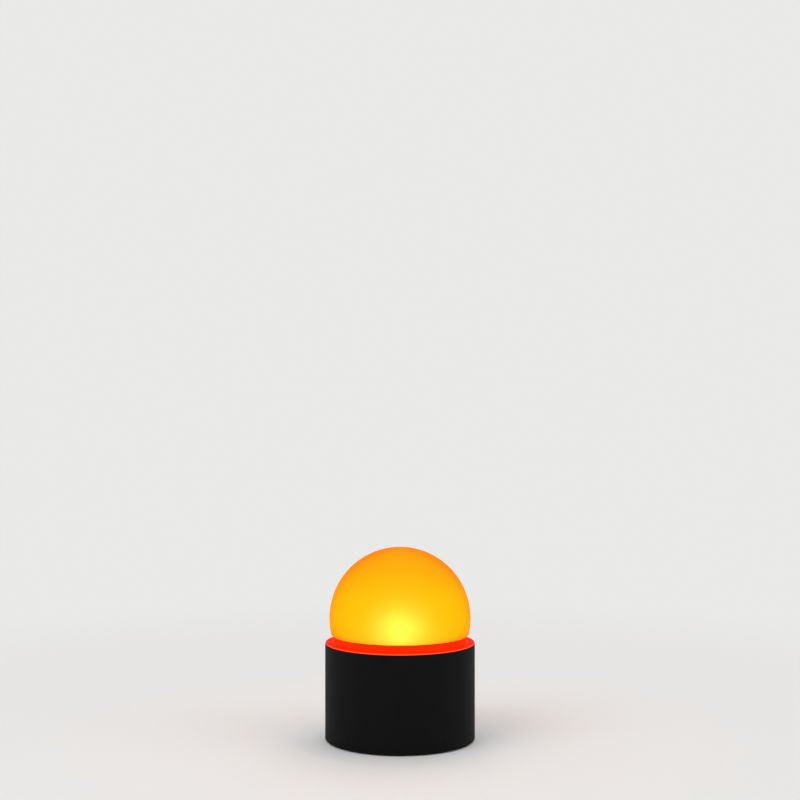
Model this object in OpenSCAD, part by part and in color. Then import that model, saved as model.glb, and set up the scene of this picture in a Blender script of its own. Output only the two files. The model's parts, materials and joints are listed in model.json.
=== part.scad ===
// Cordless sunset lamp: an amber globe on a glowing ring and a round black base.
// Millimetres. Z points up, the feet stand on z = 0, the button and the inlet face +Y.

/* [Globe] */
// Outside diameter of the globe
globe_d = 150; // [140:1:165]
// Thickness of the globe's wall
globe_wall = 3; // [2.4:0.2:3.6]
// Height of the globe's centre above its shoulder
globe_rise = 18; // [14:0.5:24]
// Rounding between the globe and its shoulder
shoulder_round = 2.5; // [1.5:0.25:3]
// Width of the shoulder around the neck
shoulder_w = 7.7; // [7:0.1:9]
// Length of the neck below the shoulder
neck_l = 11; // [9.5:0.5:14]

/* [Base] */
// How far the base stands out past the globe
base_margin = 4.5; // [4:0.5:8]
// Height of the base's rim above the table
base_h = 102; // [96:1:120]
// Thickness of the base's wall
base_wall = 3; // [2.4:0.2:3.6]
// Rounding of the base's rim
rim_round = 0.8; // [0.4:0.1:1.2]
// Rounding of the base's lower edge
heel_round = 1.2; // [0.6:0.1:2]
// Thickness of the deck that carries the light
deck_t = 3; // [2.4:0.2:4]
// Thickness of the bottom cover
cover_t = 3; // [2.8:0.1:4]
// Height of the base above the table
foot_gap = 1.2; // [0.8:0.1:2]
// Diameter of a foot pad
foot_d = 18; // [12:1:22]
// Thickness of the steel ballast plate
ballast_t = 4; // [3:0.5:6]

/* [Glow ring] */
// Thickness of the flange that lies on the rim
flange_t = 1.4; // [1.2:0.1:2.4]
// How far the flange stays back from the base's side
flange_setback = 0.4; // [0.2:0.1:0.8]
// Height of the globe's seat above the flange
seat_rise = 6.2; // [5.4:0.2:9]
// Radius of the cove between flange and seat
cove_r = 3.6; // [2.4:0.2:4.4]
// Thickness of the ring's wall
ring_wall = 3.6; // [3:0.1:4]
// Length of the spigot that centres the ring in the base
spigot_l = 4; // [3:0.5:5]

/* [Gasket] */
// Thickness of the gasket under the shoulder
gasket_t = 1; // [0.8:0.1:1.5]
// Thickness of the gasket's sleeve around the neck
sleeve_t = 1.5; // [1.2:0.1:1.8]
// Length of the gasket's sleeve
sleeve_l = 8; // [6:0.5:9]

/* [Light engine] */
// Room between the neck and the LED board
neck_gap = 2.4; // [2:0.1:3]
// Thickness of the heat sink's plate
plate_t = 4; // [3.6:0.2:5]
// Height of the heat sink's post above the plate
post_h = 11; // [9:0.5:14]
// Diameter of the post
post_d = 28; // [27:0.5:32]
// Height of the cooling fins below the plate
fin_h = 30; // [20:1:34]
// Thickness of a cooling fin
fin_t = 1.8; // [1.4:0.1:2.2]
// Number of cooling fins
fin_count = 24; // [16:2:30]
// Thickness of the circuit boards
board_t = 1.6; // [1.2:0.1:2]
// Number of amber LEDs
amber_count = 12; // [6:1:16]
// Number of red LEDs around the edge
red_count = 18; // [12:1:24]
// Thickness of the reflector
reflector_t = 1.2; // [1:0.1:1.6]
// Height of the reflector's rim above its floor
reflector_h = 6.2; // [4:0.2:8]
// Height of the beam lens
lens_h = 12; // [10.5:0.5:14]
// Diameter of the beam lens under its flange
lens_d = 19.6; // [18:0.2:20]

/* [Power] */
// Diameter of a battery cell
cell_d = 18.4; // [16:0.1:19]
// Length of a battery cell
cell_l = 65.2; // [60:0.2:66]
// Wall of the battery holder
holder_wall = 2; // [1.6:0.1:2.6]
// Width of the control board
pcb_w = 40; // [38:1:46]
// Height of the control board
pcb_h = 45; // [44:1:46]
// Height of the charging inlet above the table
port_z = 20; // [19:0.5:22]
// Height of the charge light above the table
pipe_z = 31.5; // [31:0.5:33]
// Height of the power button above the table
button_z = 44; // [42:0.5:45]
// Diameter of the power button
button_d = 12; // [10:0.5:13]
// Travel of the power button
button_travel = 1.5; // [1:0.1:2]
// Wire thickness of the button's spring
spring_wire = 0.5; // [0.4:0.05:0.6]
// Turns of the button's spring
spring_turns = 3.5; // [2.5:0.5:4]

/* [Clearances] */
// Slack between pieces that are fixed together
slack = 0.1; // [0.05:0.05:0.2]
// Gap between the globe's neck and the gasket
neck_clear = 0.3; // [0.2:0.05:0.5]
// Gap between the button and its hole
button_clear = 0.3; // [0.2:0.05:0.4]

/* [Hidden] */
$fn = 96;

// Joined shapes reach this far into each other, and a cutter runs this far past a face
bite = 0.1;
over = 1;

// Screws: radius of the shank, radius and height of the head
big_screw = [1.4, 2.7, 1.8];
small_screw = [1.1, 2.1, 1.3];
// A pilot hole is this much wider than the screw's shank, a clearance hole this much
pilot_slack = 0.05;
hole_slack = 0.2;
// A screw stops this far above the bottom of its pilot hole
screw_end_gap = 0.2;

// Heights, from the table up
cover_top = foot_gap + cover_t;
rim_z = base_h;
flange_top = rim_z + flange_t;
seat_z = flange_top + seat_rise;
shoulder_z = seat_z + gasket_t;
globe_z = shoulder_z + globe_rise;
neck_z = shoulder_z - neck_l;
led_board_top = neck_z - neck_gap;
plate_top = led_board_top - board_t;
deck_top = plate_top - plate_t;
deck_bottom = deck_top - deck_t;
fin_bottom = deck_top - fin_h;
post_top = plate_top + post_h;
beam_board_top = post_top + board_t;

// Radii of the globe, its neck and its seat
globe_r = globe_d / 2;
globe_in = globe_r - globe_wall;
neck_r = sqrt(globe_r * globe_r - globe_rise * globe_rise) - shoulder_w;
neck_in = neck_r - globe_wall;
sleeve_in = neck_r + neck_clear;
ring_bore = sleeve_in + sleeve_t + slack;
ring_out = ring_bore + ring_wall;
neck_chamfer = 0.5;
gasket_setback = 0.4;
seat_round = 0.6;

// Radii of the base
base_r = globe_r + base_margin;
base_in = base_r - base_wall;
spigot_t = 2;
spigot_out = base_in - slack;
flange_r = base_r - flange_setback;
ring_boss_root = 0.5;
ring_boss_gap = 0.4;
ring_boss_in = ring_out - ring_boss_root;
ring_boss_out = base_in - ring_boss_gap;
ring_boss_r = (ring_boss_out - ring_boss_in) / 2;
ring_boss_c = (ring_boss_out + ring_boss_in) / 2;
ring_screw_grip = 8;
ring_screw_angles = [30, 150, 270];

// The rounded corner under the globe touches the sphere and the shoulder
corner_z = shoulder_z + shoulder_round;
corner_r = sqrt(pow(globe_r - shoulder_round, 2) - pow(globe_rise - shoulder_round, 2));
corner_angle = -asin((globe_rise - shoulder_round) / (globe_r - shoulder_round));
corner_top = corner_z + shoulder_round * sin(corner_angle);

// Light engine, from the neck inwards
reflector_gap = 1.2;
reflector_r = neck_in - reflector_gap;
reflector_dish = 8;
dish_end = 20;
reflector_cone = 9;
red_led = [1.4, 3, 1];
red_led_gap = 0.6;
red_led_c = reflector_r + red_led_gap + red_led[0] / 2;
led_board_margin = 1.5;
led_board_r = red_led_c + red_led[0] / 2 + led_board_margin;
plate_margin = 0.7;
plate_r = led_board_r + plate_margin;
deck_lap = 9;
deck_hole_r = plate_r - deck_lap;
fin_r = deck_hole_r - 2;
fin_chamfer = 8;
fin_root = 1;
core_r = post_d / 2 + 1;
post_r = post_d / 2;
post_clear = 0.6;
heat_screw_c = plate_r - deck_lap / 2;
heat_screw_grip = 3.2;
heat_screw_angles = [45, 135, 225, 315];
// The reflector's floor, and how far out across it the screws and the amber LEDs stand
floor_in = post_r + post_clear + reflector_cone;
floor_out = reflector_r - reflector_dish;
reflector_screw_share = 0.22;
amber_led_share = 0.56;
reflector_screw_c = floor_in + reflector_screw_share * (floor_out - floor_in);
reflector_screw_grip = 3;
reflector_screw_angles = [45, 165, 285];
amber_led = [3.5, 3.5, 0.5];
amber_dome = [1.4, 1, 0.4];
amber_led_c = floor_in + amber_led_share * (floor_out - floor_in);
amber_window_r = 3.2;

// Beam LED, its lens and the holder
beam_led_size = [5, 5, 0.7];
beam_dome_r = 1.7;
beam_dome_sink = 0.3;
lens_z = beam_board_top + beam_led_size[2] + slack;
lens_flange_t = 1.2;
lens_flange_r = lens_d / 2 + 1.8;
lens_foot_r = 5.4;
lens_flare_steps = 6;
lens_flare_power = 0.7;
lens_pocket_r = 2.8;
lens_pocket_h = 4.4;
lens_bulge_r = 5;
lens_bulge_c = sqrt(lens_bulge_r * lens_bulge_r - lens_pocket_r * lens_pocket_r);
holder_in = lens_d / 2 + 0.8;
beam_board_r = holder_in - 0.6;
holder_top = lens_z + lens_h - lens_flange_t;
clip_t = 1;
clip_out = lens_flange_r + slack + clip_t;
clip_angle = 24;
clip_over = 0.8;
clip_h = 0.9;
leg_count = 3;
leg_window = [9, 7];
leg_sill = 0.4;

// Cover, feet and ballast
cover_boss_c = base_in - 6;
cover_boss_r = 4;
cover_boss_h = 22;
cover_screw_angles = [45, 135, 225, 315];
cover_screw_l = 14;
cover_counterbore = big_screw[2] + hole_slack;
foot_count = 4;
foot_c = cover_boss_c - 10.5;
foot_recess = 0.8;
foot_edge = 0.4;
ballast_r = cover_boss_c - cover_boss_r - 9;
ballast_fence_t = 2;
rib_angles = [0:60:300];
rib_t = 2;
rib_w = 11;
rib_h = 14;

// Battery holder, laid along X on the ballast plate
holder_z = cover_top + ballast_t;
cell_slack = 0.3;
cell_gap = 1.6;
cell_cap = [3, 1];
contact_t = 0.5;
contact_dimple = [2, 0.7];
contact_size = [10, 12];
cell_groove_r = cell_d / 2 + cell_slack;
cell_bay_l = cell_l + 2 * (contact_t + contact_dimple[1]);
cell_y = (cell_d + cell_gap) / 2;
cell_z = holder_z + holder_wall + cell_groove_r;
holder_l = cell_bay_l + 2 * holder_wall;
holder_w = 2 * (cell_y + cell_groove_r + holder_wall);
holder_lip = 4;
holder_h = cell_z + holder_lip - holder_z;
ear_r = 5;
ear_t = 3;
ear_c = holder_l / 2 + ear_r - 1;
ear_boss_r = 3.5;
ear_boss_slack = 0.4;
ear_screw_l = 7;

// Rear face: inlet, charge light and button, from the wall inwards
port_pad_y = base_in - 1.1;
bezel_size = [16.4, 10.6];
bezel_corner = 3;
bezel_flange = 2;
bezel_flange_t = 1.5;
bezel_floor = 1;
bezel_back = port_pad_y - bezel_flange_t;
plug_pocket = [13.4, 7.6];
plug_corner = 3.2;
socket_l = 10.7;
socket_gap = 0.2;
socket_size = [9, 3.3];
socket_wall = 0.3;
socket_round = 1.6;
socket_depth = 7.2;
socket_tongue = [6.7, 0.7, 6.2];
pcb_rear = bezel_back - socket_gap - socket_l;
pcb_front = pcb_rear - board_t;
pcb_z = 9;
pcb_corner = 1.5;
pcb_hole_inset = 4;
pcb_hole_x = pcb_w / 2 - pcb_hole_inset;
pcb_hole_z = [pcb_z + pcb_hole_inset, pcb_z + pcb_h - pcb_hole_inset];
post_boss_r = 3;
board_screw_grip = 6;
coil_at = [-9, 0, pcb_z + 25];
coil_size = [5, 4.5];
capacitor_at = [10, 0, pcb_z + 27];
capacitor_size = [3.2, 7];
charger_at = [-8, 0, pcb_z + 11];
charger_size = [7, 1.6, 7];
driver_at = [1, 0, pcb_z + 19];
driver_size = [5, 1.2, 4];
charge_led = [1.6, 1, 0.8];
pipe_r = 1.25;
pipe_collar = [2.2, 1.2];
pipe_back = pcb_rear + charge_led[1] + slack;
button_r = button_d / 2;
button_pad_r = button_r + 4;
button_seat_y = base_in - 0.8;
button_flange_r = button_r + button_clear + 1;
button_flange_t = 1.2;
button_back = button_seat_y - button_flange_t;
button_face_y = sqrt(base_r * base_r - button_r * button_r);
button_dish_r = 22;
button_dish = 0.5;
switch_size = [10, 4.5, 10];
switch_front = pcb_rear + switch_size[1];
stem_r = 2.2;
stem_back = switch_front + button_travel + 1;
plunger_r = 1.6;
plunger_hole_r = plunger_r + 0.2;
plunger_sink = 1.8;
plunger_depth = plunger_sink + button_travel + 0.2;
spring_r = 4.2;
spring_rings = 8;
spring_sides = 6;

bezel_flange_outline = rounded(bezel_size + 2 * [bezel_flange, bezel_flange],
                               bezel_corner + bezel_flange);

// Leads: connectors on the control board and the shape of each lead
connector = [8, 4.4, 6];
led_connector_inset = 5;
led_connector_z = pcb_z + pcb_h - led_connector_inset;
battery_connector_rise = 13;
battery_connector_x = pcb_w / 4;
battery_connector_z = pcb_z + battery_connector_rise;
lead_r = 1.4;
lead_hole_r = 2.2;
lead_sides = 8;
lead_steps = 4;

// The LED lead climbs from its connector to the plate; its bends lie at shares of the way to the deck
led_lead_bends = [0.16, 0.38, 0.63, 0.87];
led_lead_sway = [1.5, -1];
led_lead_bow = 0.8;
led_lead_inset = 5.8;
led_lead_y = pcb_front - connector[1] / 2;
led_lead_hole_y = plate_r - led_lead_inset;
led_lead_from = led_connector_z + connector[2] / 2;
led_lead_z = [for (share = led_lead_bends) led_lead_from + share * (deck_bottom - led_lead_from)];
led_lead_stops = [
    [0, led_lead_y, led_lead_from],
    [0, led_lead_y, led_lead_z[0]],
    [led_lead_sway[0], led_lead_hole_y - led_lead_bow, led_lead_z[1]],
    [led_lead_sway[1], led_lead_hole_y - led_lead_bow, led_lead_z[2]],
    [0, led_lead_hole_y, led_lead_z[3]],
    [0, led_lead_hole_y, plate_top]
];

// The battery lead runs from the holder's side to its connector; its bends lie at shares of that run
battery_lead_bends = [0.13, 0.38, 0.63, 0.83];
battery_lead_inset = 9.8;
battery_lead_rise = 7.8;
battery_lead_sag = 2;
battery_lead_x = holder_l / 2 - battery_lead_inset;
battery_lead_swing = battery_connector_x - battery_lead_x;
battery_lead_z = holder_z + battery_lead_rise;
battery_lead_end = pcb_front - connector[1];
battery_lead_y = [for (share = battery_lead_bends)
    holder_w / 2 + share * (battery_lead_end - holder_w / 2)];
battery_lead_stops = [
    [battery_lead_x, holder_w / 2, battery_lead_z],
    [battery_lead_x, battery_lead_y[0], battery_lead_z],
    [battery_lead_x + battery_lead_swing / 4, battery_lead_y[1], battery_lead_z - battery_lead_sag],
    [battery_lead_x + battery_lead_swing * 0.7, battery_lead_y[2], battery_lead_z],
    [battery_connector_x, battery_lead_y[3], battery_connector_z],
    [battery_connector_x, battery_lead_end, battery_connector_z]
];

// Points on an arc from one angle to another
function arc(centre, radius, from, to, steps = 6) =
    [for (i = [0:steps]) centre + radius * [cos(from + (to - from) * i / steps),
                                            sin(from + (to - from) * i / steps)]];

// Outline of a rectangle with rounded corners, centred on the origin
function rounded(size, radius) =
    [for (q = [0:3]) each arc([(q == 0 || q == 3 ? 1 : -1) * (size[0] / 2 - radius),
                               (q < 2 ? 1 : -1) * (size[1] / 2 - radius)],
                              radius, q * 90, q * 90 + 90)];

// A point on a smooth curve from b to c, which a and d lead into and out of
function curve_point(a, b, c, d, t) =
    0.5 * (2 * b + (c - a) * t + (2 * a - 5 * b + 4 * c - d) * t * t
           + (3 * b - a - 3 * c + d) * t * t * t);

// Points along a smooth curve through all the stops, straight between the first and the last two
function smooth(stops, steps) =
    let (n = len(stops) - 1)
    concat([stops[0]],
           [for (i = [1:n - 2], k = [0:steps - 1])
                curve_point(stops[i - 1], stops[i], stops[i + 1], stops[i + 2], k / steps)],
           [stops[n - 1], stops[n]]);

function unit(v) = v / norm(v);

// Direction of a path at point i: along its end pieces, and between the neighbours elsewhere
function heading(path, i) =
    unit(path[min(i + 1, len(path) - 1)] - path[max(i - 1, 0)]);

// A round tube along a path; normals holds a direction across the path at each point
module tube(path, normals, radius, sides) {
    last = len(path) - 1;
    points = [for (i = [0:last])
        let (t = heading(path, i), u = unit(normals[i] - (normals[i] * t) * t), v = cross(t, u))
        for (k = [0:sides - 1])
            path[i] + radius * (cos(360 * k / sides) * u + sin(360 * k / sides) * v)];
    wall = [for (i = [0:last - 1], k = [0:sides - 1])
        let (a = i * sides + k, b = i * sides + (k + 1) % sides)
        each [[a, a + sides, b], [b, a + sides, b + sides]]];
    caps = [for (k = [1:sides - 2])
        each [[0, k, k + 1], [last * sides, last * sides + k + 1, last * sides + k]]];
    polyhedron(points, concat(wall, caps), convexity = 4);
}

// Copies on a circle, one at each angle
module at_angles(angles, radius) {
    for (a = angles) rotate(a) translate([radius, 0, 0]) children();
}

// Copies evenly spaced on a circle
module around(count, radius) {
    for (i = [0:count - 1]) rotate(360 * i / count) translate([radius, 0, 0]) children();
}

// A rod along Y
module rod_y(radius, from, to) {
    translate([0, from, 0]) rotate([-90, 0, 0]) cylinder(r = radius, h = to - from);
}

// An outline in the XZ plane, drawn out along Y
module bar_y(from, to) {
    translate([0, to, 0]) rotate([90, 0, 0]) linear_extrude(to - from) children();
}

// A cross-slotted screw: its head stands on z = 0 and its shank hangs below
module screw(kind, length) {
    slot_w = kind[0] * 0.45;
    difference() {
        union() {
            translate([0, 0, -length]) cylinder(r = kind[0], h = length + bite);
            cylinder(r = kind[1], h = kind[2] * 0.6);
            translate([0, 0, kind[2] * 0.6])
                cylinder(r1 = kind[1], r2 = kind[1] * 0.7, h = kind[2] * 0.4);
        }
        for (a = [0, 90]) rotate(a)
            translate([-kind[1] * 0.6, -slot_w / 2, kind[2] * 0.5])
                cube([kind[1] * 1.2, slot_w, kind[2]]);
    }
}

// The same screw driven upwards, with its head hanging below z = 0
module screw_up(kind, length) {
    rotate([180, 0, 0]) screw(kind, length);
}

// Matt black outer shell with the deck, its ribs and the bosses
module base_housing() {
    color("#141316") difference() {
        union() {
            rotate_extrude() polygon(concat(
                [[base_in, foot_gap]],
                arc([base_r - heel_round, foot_gap + heel_round], heel_round, -90, 0),
                arc([base_r - rim_round, rim_z - rim_round], rim_round, 0, 90),
                [[base_in, rim_z], [base_in, deck_top], [deck_hole_r, deck_top],
                 [deck_hole_r, deck_bottom], [base_in, deck_bottom]]));
            deck_ribs();
            cover_bosses();
            intersection() {
                rear_bosses();
                cylinder(r = base_in + base_wall / 2, h = base_h);
            }
        }
        at_angles(ring_screw_angles, ring_boss_c) deck_hole();
        at_angles(heat_screw_angles, heat_screw_c) deck_hole();
        translate([0, led_lead_hole_y, deck_bottom - over])
            cylinder(r = lead_hole_r, h = deck_t + 2 * over);
        at_angles(cover_screw_angles, cover_boss_c) translate([0, 0, cover_top - over])
            cylinder(r = big_screw[0] + pilot_slack, h = cover_screw_l + over);
        rear_holes();
    }
}

module deck_hole() {
    translate([0, 0, deck_bottom - over]) cylinder(r = big_screw[0] + hole_slack, h = deck_t + 2 * over);
}

module deck_ribs() {
    for (a = rib_angles) rotate(a) rotate([90, 0, 0])
        linear_extrude(rib_t, center = true) polygon([
            [base_in + base_wall / 2, deck_bottom + deck_t / 2],
            [base_in - rib_w, deck_bottom + deck_t / 2],
            [base_in - rib_w, deck_bottom],
            [base_in, deck_bottom - rib_h],
            [base_in + base_wall / 2, deck_bottom - rib_h]]);
}

module cover_bosses() {
    at_angles(cover_screw_angles, cover_boss_c) translate([0, 0, cover_top]) {
        cylinder(r = cover_boss_r, h = cover_boss_h);
        translate([0, -rib_t / 2, 0])
            cube([base_in + base_wall / 2 - cover_boss_c, rib_t, cover_boss_h]);
    }
}

module rear_bosses() {
    for (x = [-pcb_hole_x, pcb_hole_x], z = pcb_hole_z) translate([x, 0, z])
        rod_y(post_boss_r, pcb_rear, base_r);
    translate([0, 0, button_z]) rod_y(button_pad_r, button_seat_y, base_r);
    translate([0, 0, port_z]) bar_y(port_pad_y, base_r)
        polygon(bezel_flange_outline);
}

module rear_holes() {
    for (x = [-pcb_hole_x, pcb_hole_x], z = pcb_hole_z) translate([x, 0, z])
        rod_y(small_screw[0] + pilot_slack, pcb_rear - over, pcb_rear + board_screw_grip + over);
    translate([0, 0, button_z]) rod_y(button_r + button_clear, button_seat_y - over, base_r + over);
    translate([0, 0, pipe_z]) rod_y(pipe_r + slack, base_in - over, base_r + over);
    translate([0, 0, port_z]) bar_y(port_pad_y - over, base_r + over)
        polygon(rounded(bezel_size + 2 * [slack, slack], bezel_corner + slack));
}

// Closes the base from below and carries the ballast
module bottom_cover() {
    color("#1b1a1d") difference() {
        union() {
            translate([0, 0, foot_gap]) cylinder(r = base_in - slack, h = cover_t);
            difference() {
                translate([0, 0, cover_top - bite])
                    cylinder(r = ballast_r + slack + ballast_fence_t, h = ballast_t + bite);
                translate([0, 0, cover_top - over])
                    cylinder(r = ballast_r + slack, h = ballast_t + 2 * over);
            }
            for (side = [-1, 1]) translate([side * ear_c, 0, cover_top - bite])
                cylinder(r = ear_boss_r, h = ballast_t + bite);
        }
        at_angles(cover_screw_angles, cover_boss_c) translate([0, 0, foot_gap]) {
            translate([0, 0, -over])
                cylinder(r = big_screw[1] + hole_slack, h = cover_counterbore + over);
            cylinder(r = big_screw[0] + hole_slack, h = cover_t + over);
        }
        around(foot_count, foot_c) translate([0, 0, foot_gap - over])
            cylinder(d = foot_d, h = foot_recess + over);
        for (side = [-1, 1]) translate([side * ear_c, 0, holder_z + ear_t - ear_screw_l])
            cylinder(r = big_screw[0] + pilot_slack, h = ear_screw_l);
    }
}

module foot_pads() {
    pad_r = foot_d / 2 - slack;
    pad_h = foot_gap + foot_recess;
    color("#2a2a2c") around(foot_count, foot_c) rotate_extrude()
        polygon([[0, 0], [pad_r - foot_edge, 0], [pad_r, foot_edge], [pad_r, pad_h], [0, pad_h]]);
}

module cover_screws() {
    color("silver") at_angles(cover_screw_angles, cover_boss_c)
        translate([0, 0, foot_gap + cover_counterbore]) screw_up(big_screw, cover_screw_l);
}

// Steel disc that keeps the lamp from tipping
module ballast_plate() {
    color("#8b8d90") translate([0, 0, cover_top]) difference() {
        cylinder(r = ballast_r, h = ballast_t);
        for (side = [-1, 1]) translate([side * ear_c, 0, -over])
            cylinder(r = ear_boss_r + ear_boss_slack, h = ballast_t + 2 * over);
    }
}

// Translucent red ring: flange on the rim, cove, and the seat on a long skirt
module glow_ring() {
    lip_r = flange_t / 2;
    cove_c = [ring_out + cove_r, flange_top + cove_r];
    color("#ff2c00") difference() {
        union() {
            rotate_extrude() polygon(concat(
                [[ring_bore, deck_top], [ring_out, deck_top], [ring_out, rim_z],
                 [spigot_out - spigot_t, rim_z], [spigot_out - spigot_t, rim_z - spigot_l],
                 [spigot_out, rim_z - spigot_l], [spigot_out, rim_z]],
                arc([flange_r - lip_r, rim_z + lip_r], lip_r, -90, 90, 8),
                arc(cove_c, cove_r, 270, 180, 8),
                arc([ring_out - seat_round, seat_z - seat_round], seat_round, 0, 90),
                [[ring_bore, seat_z]]));
            at_angles(ring_screw_angles, ring_boss_c) translate([0, 0, deck_top])
                cylinder(r = ring_boss_r, h = rim_z - deck_top + flange_t / 2);
        }
        at_angles(ring_screw_angles, ring_boss_c) translate([0, 0, deck_top - over])
            cylinder(r = big_screw[0] + pilot_slack, h = ring_screw_grip + over);
    }
}

module ring_screws() {
    color("silver") at_angles(ring_screw_angles, ring_boss_c)
        translate([0, 0, deck_bottom]) screw_up(big_screw, deck_t + ring_screw_grip - screw_end_gap);
}

// Soft collar that grips the globe's neck and cushions its shoulder
module globe_gasket() {
    color("#b03018") rotate_extrude() polygon([
        [sleeve_in, seat_z - sleeve_l], [sleeve_in + sleeve_t, seat_z - sleeve_l],
        [sleeve_in + sleeve_t, seat_z], [ring_out - gasket_setback, seat_z],
        [ring_out - gasket_setback, shoulder_z], [sleeve_in, shoulder_z]]);
}

// Cast aluminium: plate on the deck, post for the beam LED, radial fins below
module heat_sink() {
    color("#b9bcc0") difference() {
        union() {
            translate([0, 0, deck_top]) cylinder(r = plate_r, h = plate_t);
            translate([0, 0, plate_top - bite]) cylinder(r = post_r, h = post_h + bite);
            translate([0, 0, fin_bottom]) cylinder(r = core_r, h = fin_h + bite);
            around(fin_count, 0) rotate([90, 0, 0]) linear_extrude(fin_t, center = true)
                polygon([[core_r - fin_root, fin_bottom], [fin_r - fin_chamfer, fin_bottom],
                         [fin_r, fin_bottom + fin_chamfer], [fin_r, deck_top + plate_t / 2],
                         [core_r - fin_root, deck_top + plate_t / 2]]);
        }
        at_angles(heat_screw_angles, heat_screw_c) translate([0, 0, deck_top - over])
            cylinder(r = big_screw[0] + pilot_slack, h = heat_screw_grip + over);
        at_angles(reflector_screw_angles, reflector_screw_c)
            translate([0, 0, plate_top - reflector_screw_grip])
                cylinder(r = small_screw[0] + pilot_slack, h = reflector_screw_grip + over);
        translate([0, led_lead_hole_y, deck_top - over])
            cylinder(r = lead_hole_r, h = plate_t + 2 * over);
    }
}

module heat_sink_screws() {
    color("silver") at_angles(heat_screw_angles, heat_screw_c)
        translate([0, 0, deck_bottom]) screw_up(big_screw, deck_t + heat_screw_grip - screw_end_gap);
}

module led_board() {
    color("#e9ece6") translate([0, 0, plate_top]) difference() {
        cylinder(r = led_board_r, h = board_t);
        translate([0, 0, -over]) cylinder(r = post_r + post_clear, h = board_t + 2 * over);
        at_angles(reflector_screw_angles, reflector_screw_c) translate([0, 0, -over])
            cylinder(r = small_screw[0] + hole_slack, h = board_t + 2 * over);
    }
}

module amber_leds() {
    color("#ffb000") around(amber_count, amber_led_c) translate([0, 0, led_board_top]) {
        translate([-amber_led[0] / 2, -amber_led[1] / 2, 0]) cube(amber_led);
        translate([0, 0, amber_led[2] - bite])
            cylinder(r1 = amber_dome[0], r2 = amber_dome[1], h = amber_dome[2] + bite);
    }
}

// Side-firing LEDs that light the ring's skirt
module red_leds() {
    color("#ff3010") around(red_count, red_led_c)
        translate([-red_led[0] / 2, -red_led[1] / 2, led_board_top]) cube(red_led);
}

// White dish with a window over each amber LED and a cone up the post
module reflector() {
    floor_z = led_board_top;
    rim = floor_z + reflector_t + reflector_h;
    in_r = post_r + post_clear;
    dish_c = [floor_out, rim];
    color("white") difference() {
        rotate_extrude() polygon(concat(
            [[floor_in, floor_z]],
            [[floor_out, floor_z]],
            arc(dish_c, reflector_t + reflector_h, -90, -dish_end),
            [[reflector_r, rim - reflector_t], [reflector_r, rim], [reflector_r - reflector_t, rim]],
            arc(dish_c, reflector_h, -dish_end, -90),
            [[floor_in, floor_z + reflector_t],
             [in_r + reflector_t, rim], [in_r, rim], [in_r, rim - reflector_t]]));
        around(amber_count, amber_led_c) translate([0, 0, floor_z - over])
            cylinder(r = amber_window_r, h = reflector_t + 2 * over);
        at_angles(reflector_screw_angles, reflector_screw_c) translate([0, 0, floor_z - over])
            cylinder(r = small_screw[0] + hole_slack, h = reflector_t + 2 * over);
    }
}

module reflector_screws() {
    color("silver") at_angles(reflector_screw_angles, reflector_screw_c)
        translate([0, 0, led_board_top + reflector_t])
            screw(small_screw, reflector_t + board_t + reflector_screw_grip - screw_end_gap);
}

module beam_board() {
    color("#e9ece6") translate([0, 0, post_top]) cylinder(r = beam_board_r, h = board_t);
}

module beam_led() {
    color("#ff5030") translate([0, 0, beam_board_top]) {
        translate([-beam_led_size[0] / 2, -beam_led_size[1] / 2, 0]) cube(beam_led_size);
        intersection() {
            translate([0, 0, beam_led_size[2] - beam_dome_sink]) sphere(r = beam_dome_r);
            cylinder(r = beam_dome_r + over, h = beam_dome_r + beam_led_size[2]);
        }
    }
}

// Milky tube on three legs that holds the lens over the beam LED, with a clip above each leg
module lens_holder() {
    lens_top = lens_z + lens_h + slack;
    clip_in = clip_out - clip_t;
    color("#f1ede2") difference() {
        rotate_extrude() polygon([
            [holder_in, post_top], [clip_out, post_top], [clip_out, lens_top],
            [clip_out - clip_t / 2, lens_top + clip_h], [clip_in - clip_over, lens_top + clip_h / 3],
            [clip_in - clip_over, lens_top], [clip_in, lens_top], [clip_in, holder_top],
            [holder_in, holder_top]]);
        for (i = [0:leg_count - 1]) {
            rotate(360 * i / leg_count + clip_angle / 2)
                rotate_extrude(angle = 360 / leg_count - clip_angle)
                    translate([holder_in / 2, holder_top]) square([clip_out, lens_h]);
            rotate(360 * (i + 0.5) / leg_count)
                translate([0, -leg_window[0] / 2, beam_board_top + leg_sill])
                    cube([clip_out + over, leg_window[0], leg_window[1]]);
        }
    }
}

// Lens that gathers the light into a beam: a flared body with a pocket over the LED
module beam_lens() {
    flare = [for (i = [0:lens_flare_steps]) let (t = i / lens_flare_steps)
        [lens_foot_r + (lens_d / 2 - lens_foot_r) * pow(t, lens_flare_power),
         lens_z + t * (lens_h - lens_flange_t)]];
    color("#f4f8ff", 0.5) rotate_extrude() polygon(concat(
        arc([0, lens_z + lens_pocket_h + lens_bulge_c], lens_bulge_r,
            -90, asin(lens_pocket_r / lens_bulge_r) - 90),
        [[lens_pocket_r, lens_z]],
        flare,
        [[lens_flange_r, holder_top], [lens_flange_r, lens_z + lens_h], [0, lens_z + lens_h]]));
}

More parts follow.
